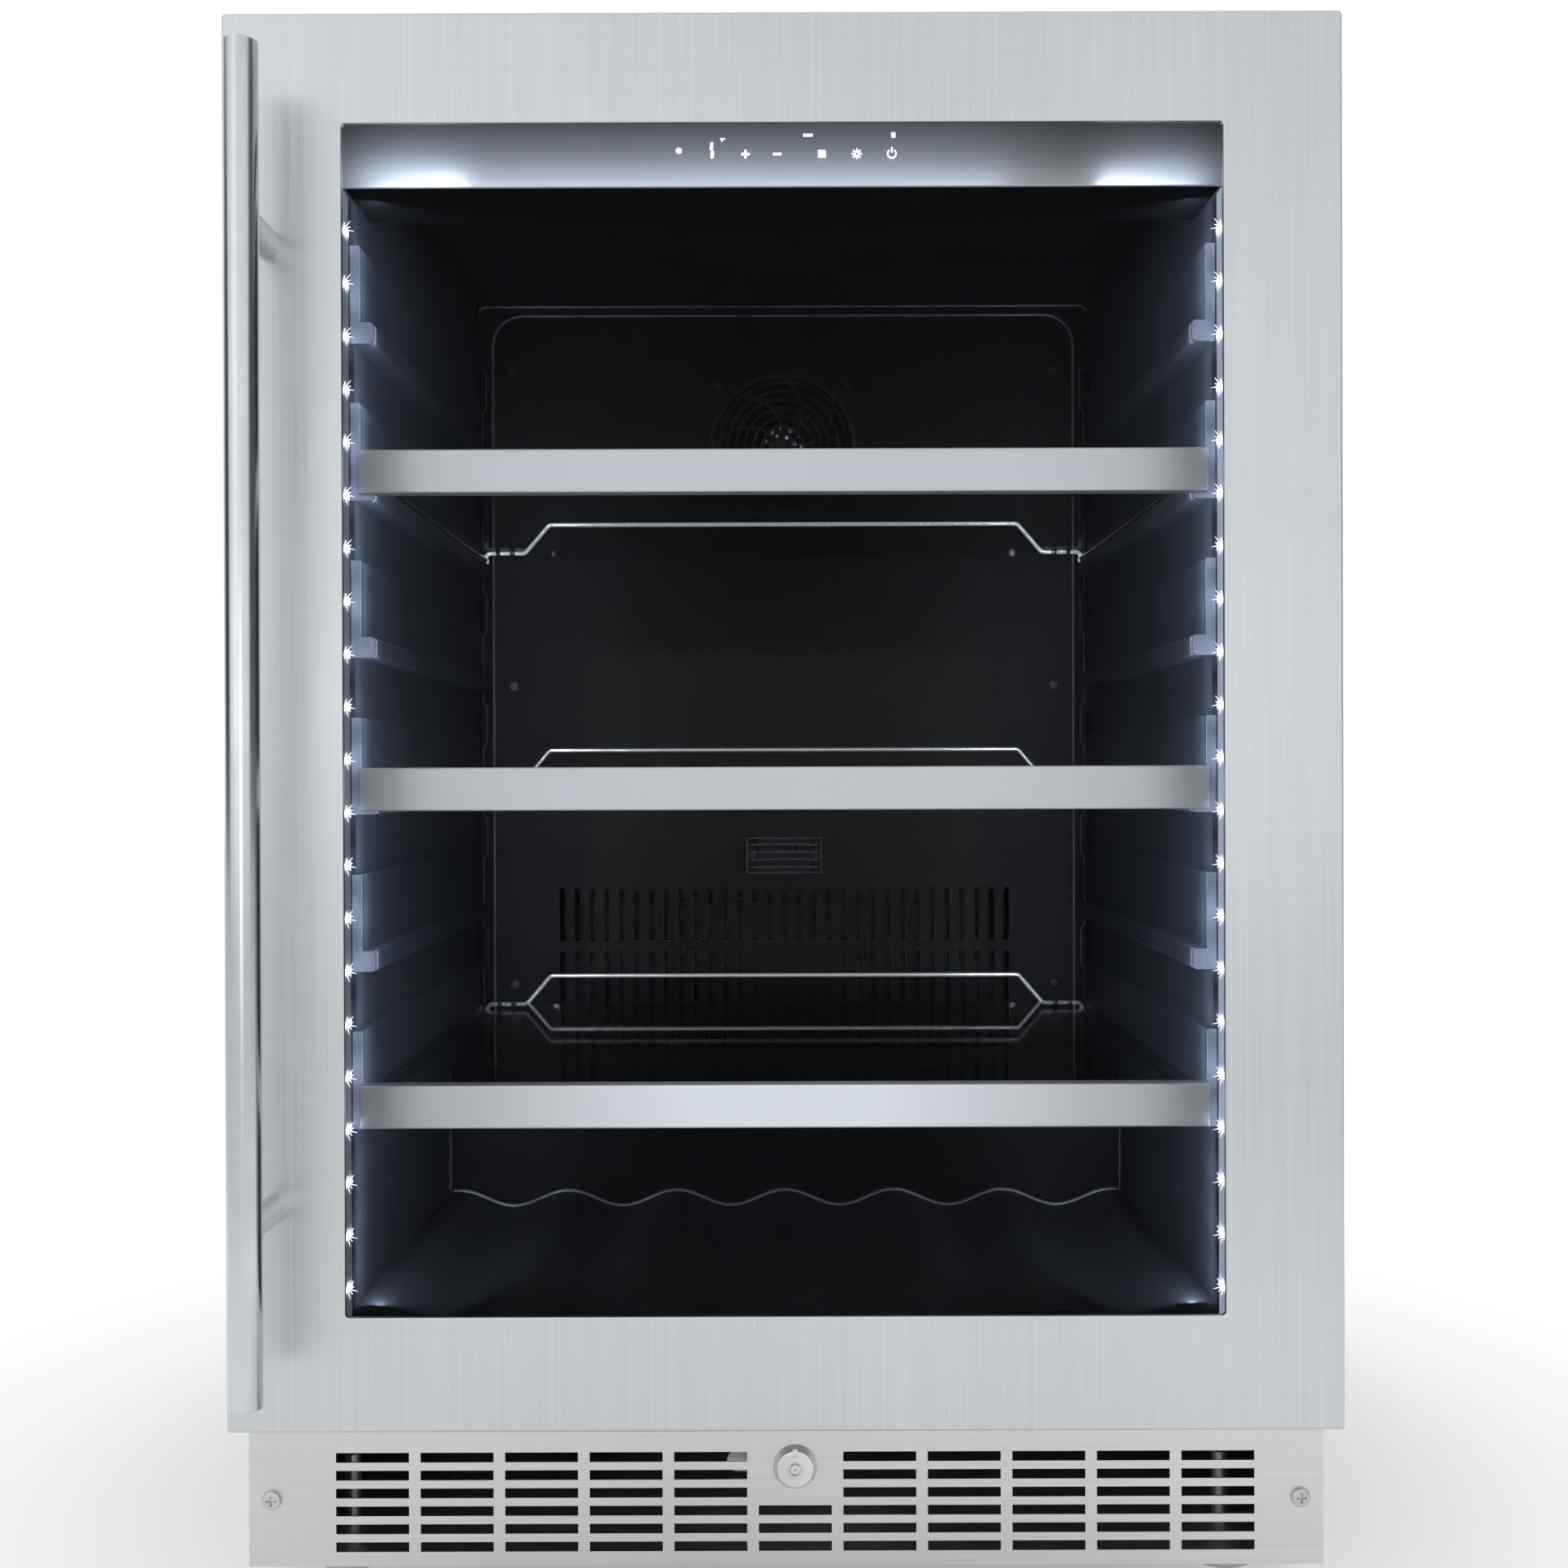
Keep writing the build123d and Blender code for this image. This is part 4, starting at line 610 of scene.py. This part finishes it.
# Light grey crest plastic: a painted highlight along the wavy crest of the cradle.
CREST_HIGHLIGHT_PLASTIC = textured_coat("crest_highlight_plastic", (0.11, 0.115, 0.125), (0.16, 0.165, 0.175), (0.26, 0.36),
                              GLOSS_GRAIN, strength=0.08)


def bead(name, points, radius, finish=EDGE_HIGHLIGHT_PLASTIC, closed=False):
    """Round bead along points in metres, fixed to the cabinet; its default plastic is a lighter grey than the
    black liner, a painted highlight along the edge.
    """
    path = bpy.data.curves.new(name + "_path", "CURVE")
    path.dimensions = "3D"
    path.bevel_depth = radius
    path.bevel_resolution = 2
    path.use_fill_caps = True
    line = path.splines.new("POLY")
    line.points.add(len(points) - 1)
    for spot, point in zip(line.points, points):
        spot.co = (*point, 1.0)
    line.use_cyclic_u = closed
    holder = bpy.data.objects.new(name + "_path", path)
    data = bpy.data.meshes.new_from_object(holder)
    data.name = name
    bpy.data.objects.remove(holder)
    bpy.data.curves.remove(path)
    for face in data.polygons:
        face.use_smooth = True
    data.materials.clear()
    finished(name, data, "cabinet", finish)


def arch(half, low, high, corner, depth, steps=10):
    """Points up one side, round two corners and down the other side, at one depth."""
    turn = [pi / 2 * step / steps for step in range(steps + 1)]
    left = [(-half + corner - corner * cos(a), depth, high - corner + corner * sin(a)) for a in turn]
    return [(-half, depth, low)] + left + [(-x, y, z) for x, y, z in reversed(left)] + [(half, depth, low)]


def rear_notches(side):
    """Steps in the rear corner of the liner, one above each ledge."""
    first, pitch, depth = 0.262, 0.091, 0.2512
    steps = ((0.2452, 0.0), (0.2452, 0.040), (0.2420, 0.043), (0.2420, 0.073), (0.2452, 0.076))
    return [(side * x, depth, first + pitch * ledge + z) for ledge in range(6) for x, z in steps]


COVER_FOOT = 0.242
bead("cover_bead", arch(0.2350, COVER_FOOT, 0.8332, 0.024, 0.2428), 0.0010)
bead("liner_corner_bead", arch(0.2490, COVER_FOOT, 0.8430, 0.008, 0.2518), 0.0010)
for side, place in ((-1, "left"), (1, "right")):
    bead(f"step_corner_bead_{place}", [(side * 0.2492, 0.1222, z) for z in (0.150, 0.240)], 0.0010)
    bead(f"rear_notches_{place}", rear_notches(side), 0.0007)


def cradle_lip():
    """Wavy crest along the back of the bottle cradle, coloured light grey: a painted highlight."""
    pitch, swing, depth = 0.0804, 0.00565, 0.1172
    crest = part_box("bottle_cradle")[1][2]
    across = [0.003 * step for step in range(-82, 83)]
    wave = [(x, depth, crest - swing + swing * cos(tau * x / pitch)) for x in across]
    bead("cradle_lip", wave, 0.0018, CREST_HIGHLIGHT_PLASTIC)


def sensor_beads():
    """Four louvres and a frame on the front of the sensor box."""
    low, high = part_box("sensor_cover")
    edge = 0.001
    half = (high[0] - low[0]) / 2 - 0.004
    rise = (high[2] - low[2]) / 5
    for number in range(1, 5):
        level = low[2] + rise * number
        bead(f"sensor_louvre_{number}", [(x, low[1] - 0.0004, level - 0.0006 * (abs(x) / half) ** 4)
                                         for x in (-half, -half / 2, 0.0, half / 2, half)], 0.0008)
    left, right, foot, head = low[0] + edge, high[0] - edge, low[2] + edge, high[2] - edge
    ring = [(x, low[1] + 0.0002, z) for x, z in ((left, foot), (right, foot), (right, head), (left, head))]
    bead("sensor_frame", ring, 0.0007, closed=True)


cradle_lip()
sensor_beads()


# ---------------------------------------------------------------- bright metal details


FERRULE = [(-0.0020, 0.0019), (-0.0016, 0.0025), (0.0016, 0.0025), (0.0020, 0.0019)]


def ferrules(shelf, count=20):
    """Four small collars on the rear wire of a shelf, each turned about a line along X."""
    wire_rise, wire_depth = 0.0035, 0.2358
    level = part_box(f"{shelf}_shelf_glass")[0][2] + wire_rise
    mesh = bmesh.new()
    for middle in (-0.2185, -0.2300, 0.2185, 0.2300):
        rings = [[mesh.verts.new((middle + x, wire_depth + r * cos(tau * k / count),
                                  level + r * sin(tau * k / count)))
                  for k in range(count)] for x, r in FERRULE]
        for first, second in zip(rings, rings[1:]):
            for k in range(count):
                mesh.faces.new((first[k], first[(k + 1) % count], second[(k + 1) % count], second[k]))
        mesh.faces.new(list(reversed(rings[0])))
        mesh.faces.new(rings[-1])
    for face in mesh.faces:
        face.smooth = len(face.verts) == 4
    name = f"{shelf}_wire_ferrules"
    finished(name, drawn(name, mesh), f"shelf_{shelf}", FINISHES["bright_wire"])


def hub_clips():
    """Small bright faceted clips in two rings on the hub of the fan guard."""
    low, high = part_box("fan_grille")
    centre, face = (low[2] + high[2]) / 2, low[1]
    sides = 5
    mesh = bmesh.new()
    for ring, (radius, count) in enumerate(((0.0150, 11), (0.0092, 7))):
        for step in range(count):
            angle = tau * (step + 0.3 * ring) / count
            x, z = radius * cos(angle), centre + radius * sin(angle)
            size = 0.0021 + 0.0006 * cos(5 * angle)
            rim = [mesh.verts.new((x + size * cos(angle + tau * k / sides), face + 0.0004,
                                   z + 1.3 * size * sin(angle + tau * k / sides))) for k in range(sides)]
            peak = mesh.verts.new((x + 0.0006 * sin(3 * angle), face - 0.0011, z + 0.0006 * cos(4 * angle)))
            for k in range(sides):
                mesh.faces.new((rim[k], rim[(k + 1) % sides], peak))
            mesh.faces.new(list(reversed(rim)))
    finished("hub_clips", drawn("hub_clips", mesh), "cabinet", FINISHES["bright_wire"])


for shelf in ("top", "middle", "bottom"):
    ferrules(shelf)
hub_clips()


# ---------------------------------------------------------------- painted emitter glints


def glint_light():
    """Painted glint: white at each emitter, falling to a dim blue at the tips of its rays."""
    ray = Surface("glint_light", (0.6, 0.7, 0.9), roughness=0.5)
    side = ray.maths("SUBTRACT", ray.sideways(), LED_X)
    rise = ray.maths("PINGPONG", ray.maths("SUBTRACT", ray.along("Z"), LED_FIRST), LED_PITCH / 2)
    reach = ray.maths("SQRT", ray.total(ray.product(side, side), ray.product(rise, rise)))
    fade = ray.ranged(reach, 0.0, 1.0, 0.0008, 0.0068)
    bright = ray.maths("SUBTRACT", 1.0, fade)
    ray.put("Emission Color", ray.blend(fade, (0.9, 0.95, 1.0), (0.45, 0.55, 0.85)))
    ray.put("Emission Strength", ray.total(ray.product(bright, 3.2), 0.45))
    ray.put("Roughness", ray.ranged(ray.noise((900.0, 900.0, 900.0)), 0.4, 0.6))
    return ray.mat


def glint(mesh, x, z, side):
    """One flat glowing star, a painted glint: thin blunt rays, short on the side of the wall."""
    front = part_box("led_channels")[0][1] - 0.0004
    root, half_tip = 0.0009, 0.00024
    rim = []
    for step in range(12):
        angle = pi * step / 6 + 0.2 * side
        inward = -side * cos(angle)
        long = 0.0062 if step % 2 == 0 else 0.0042
        tip = long if inward > -0.2 else 0.0012
        for reach, turn in ((root, -0.26), (tip, -half_tip / tip), (tip, half_tip / tip)):
            rim.append(mesh.verts.new((x + reach * cos(angle + turn), front, z + reach * sin(angle + turn))))
    peak = mesh.verts.new((x, front - 0.0005, z))
    for step in range(len(rim)):
        mesh.faces.new((rim[step], peak, rim[(step + 1) % len(rim)]))
    mesh.faces.new(list(reversed(rim)))


GLINT_LIGHT = glint_light()
for side, place in ((-1, "left"), (1, "right")):
    star_mesh = bmesh.new()
    for number in range(LED_COUNT):
        glint(star_mesh, side * LED_X, LED_FIRST + LED_PITCH * number, side)
    finished(f"glints_{place}", drawn(f"glints_{place}", star_mesh), "cabinet", GLINT_LIGHT)


# ---------------------------------------------------------------- lights, floor and camera


LED_WHITE = (0.76, 0.85, 1.0)
COOL_WHITE = (0.97, 0.985, 1.0, 1.0)
SEEN_WHITE = 1.05


def area_light(name, place, turn, size, power, colour=(1.0, 1.0, 1.0)):
    """Rectangular lamp. place and size are in metres, turn in degrees and power in watts."""
    lamp = bpy.data.lights.new(name, "AREA")
    lamp.shape = "RECTANGLE"
    lamp.size, lamp.size_y = size
    lamp.energy = power
    lamp.color = colour
    holder = bpy.data.objects.new(name, lamp)
    holder.location = place
    holder.rotation_euler = [radians(angle) for angle in turn]
    bpy.context.scene.collection.objects.link(holder)


# Strength of the surroundings from the lowest direction to the highest, and from left to right.
WORLD_HEIGHTS = ((0.0, 1.15), (0.46, 1.12), (0.58, 1.02), (0.70, 0.86), (1.0, 0.80))
WORLD_FLANKS = ((0.0, 0.05), (0.02, 0.08), (0.06, 0.98), (0.30, 1.36), (0.37, 1.38), (0.43, 1.08),
                (0.90, 1.0), (0.97, 0.10), (1.0, 0.06))


def studio_world():
    """White to the eye; as light, brighter below than above, and dark at the far left and right."""
    world = bpy.data.worlds.new("studio")
    bpy.context.scene.world = world
    world.use_nodes = True
    tree = world.node_tree
    back = tree.nodes["Background"]
    place = tree.nodes.new("ShaderNodeTexCoord")
    split = tree.nodes.new("ShaderNodeSeparateXYZ")
    tree.links.new(place.outputs["Generated"], split.inputs["Vector"])

    def curve(source, stops):
        ramp = tree.nodes.new("ShaderNodeValToRGB")
        ramp.color_ramp.interpolation = "EASE"
        for index, (position, value) in enumerate(stops):
            stop = ramp.color_ramp.elements[index] if index < 2 else ramp.color_ramp.elements.new(position)
            stop.position = position
            stop.color = (value, value, value, 1.0)
        tree.links.new(source, ramp.inputs["Fac"])
        return ramp.outputs["Color"]

    both = tree.nodes.new("ShaderNodeMath")
    both.operation = "MULTIPLY"
    for socket, axis, stops in ((0, "Z", WORLD_HEIGHTS), (1, "X", WORLD_FLANKS)):
        spread = tree.nodes.new("ShaderNodeMapRange")
        spread.inputs["From Min"].default_value = -1.0
        tree.links.new(split.outputs[axis], spread.inputs["Value"])
        tree.links.new(curve(spread.outputs["Result"], stops), both.inputs[socket])
    eye = tree.nodes.new("ShaderNodeLightPath")
    either = tree.nodes.new("ShaderNodeMix")
    tree.links.new(eye.outputs["Is Camera Ray"], either.inputs["Factor"])
    tree.links.new(both.outputs["Value"], either.inputs[2])
    either.inputs[3].default_value = SEEN_WHITE
    tree.links.new(either.outputs[0], back.inputs["Strength"])
    back.inputs["Color"].default_value = COOL_WHITE


def floor():
    """Pale paper that runs out into the white of the surroundings."""
    half = 12.0
    near_glow, far_glow = 1.0, 0.72
    mesh = bpy.data.meshes.new("floor")
    mesh.from_pydata([(-half, -half, 0), (half, -half, 0), (half, half, 0), (-half, half, 0)], [],
                     [(0, 1, 2, 3)])
    paper = Surface("floor_paper", (0.86, 0.86, 0.86), roughness=0.85)
    cloud = paper.noise((3.0, 3.0, 3.0))
    paper.put("Base Color", paper.blend(cloud, (0.84, 0.84, 0.845), (0.88, 0.88, 0.88)))
    reach = paper.node("ShaderNodeVectorMath", operation="LENGTH")
    paper.link(paper.place, reach.inputs[0])
    white = paper.node("ShaderNodeEmission")
    white.inputs["Color"].default_value = COOL_WHITE
    eye = paper.node("ShaderNodeLightPath")
    glow = paper.ranged(reach.outputs["Value"], near_glow, far_glow, 1.1, 1.7)
    seen = paper.product(eye.outputs["Is Camera Ray"], paper.maths("SUBTRACT", SEEN_WHITE, glow))
    paper.link(paper.total(glow, seen), white.inputs["Strength"])
    paper.shade(paper.ranged(reach.outputs["Value"], 0.25, 1.0, 0.25, 0.75),
                paper.shader.outputs["BSDF"], white.outputs["Emission"])
    mesh.materials.append(paper.mat)
    ground = bpy.data.objects.new("floor", mesh)
    bpy.context.scene.collection.objects.link(ground)


def camera():
    lens = bpy.data.cameras.new("camera")
    lens.lens = LENS_MM
    lens.sensor_width = SENSOR_MM
    lens.clip_start = 0.05
    holder = bpy.data.objects.new("camera", lens)
    holder.location = (0.0, DOOR_FACE - VIEW_DISTANCE, VIEW_HEIGHT)
    holder.rotation_euler = (radians(90 - VIEW_DIP), radians(VIEW_ROLL), 0.0)
    bpy.context.scene.collection.objects.link(holder)
    bpy.context.scene.camera = holder


def strip_lights():
    """Light that the emitter strips throw along the walls and up onto the control strip."""
    low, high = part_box("led_channels")
    middle, tall = (low[2] + high[2]) / 2, high[2] - low[2]
    for side in (-1, 1):
        area_light(f"wall_{side}", (side * 0.236, -0.172, middle), (90, 0, side * -20),
                   (0.004, tall), 1.2, LED_WHITE)
        area_light(f"corner_{side}", (side * 0.210, -0.214, 0.7955), (90, 0, side * -12),
                   (0.060, 0.003), 0.0095, LED_WHITE)
    area_light("control_wash", (-0.05, -0.2285, 0.7995), (90, 0, 0), (0.36, 0.012), 0.030, LED_WHITE)


studio_world()
floor()
camera()
strip_lights()
area_light("front", (0.0, -3.4, 0.30), (90, 0, 0), (0.9, 0.9), 3.0)
bpy.context.scene.view_settings.view_transform = "Standard"
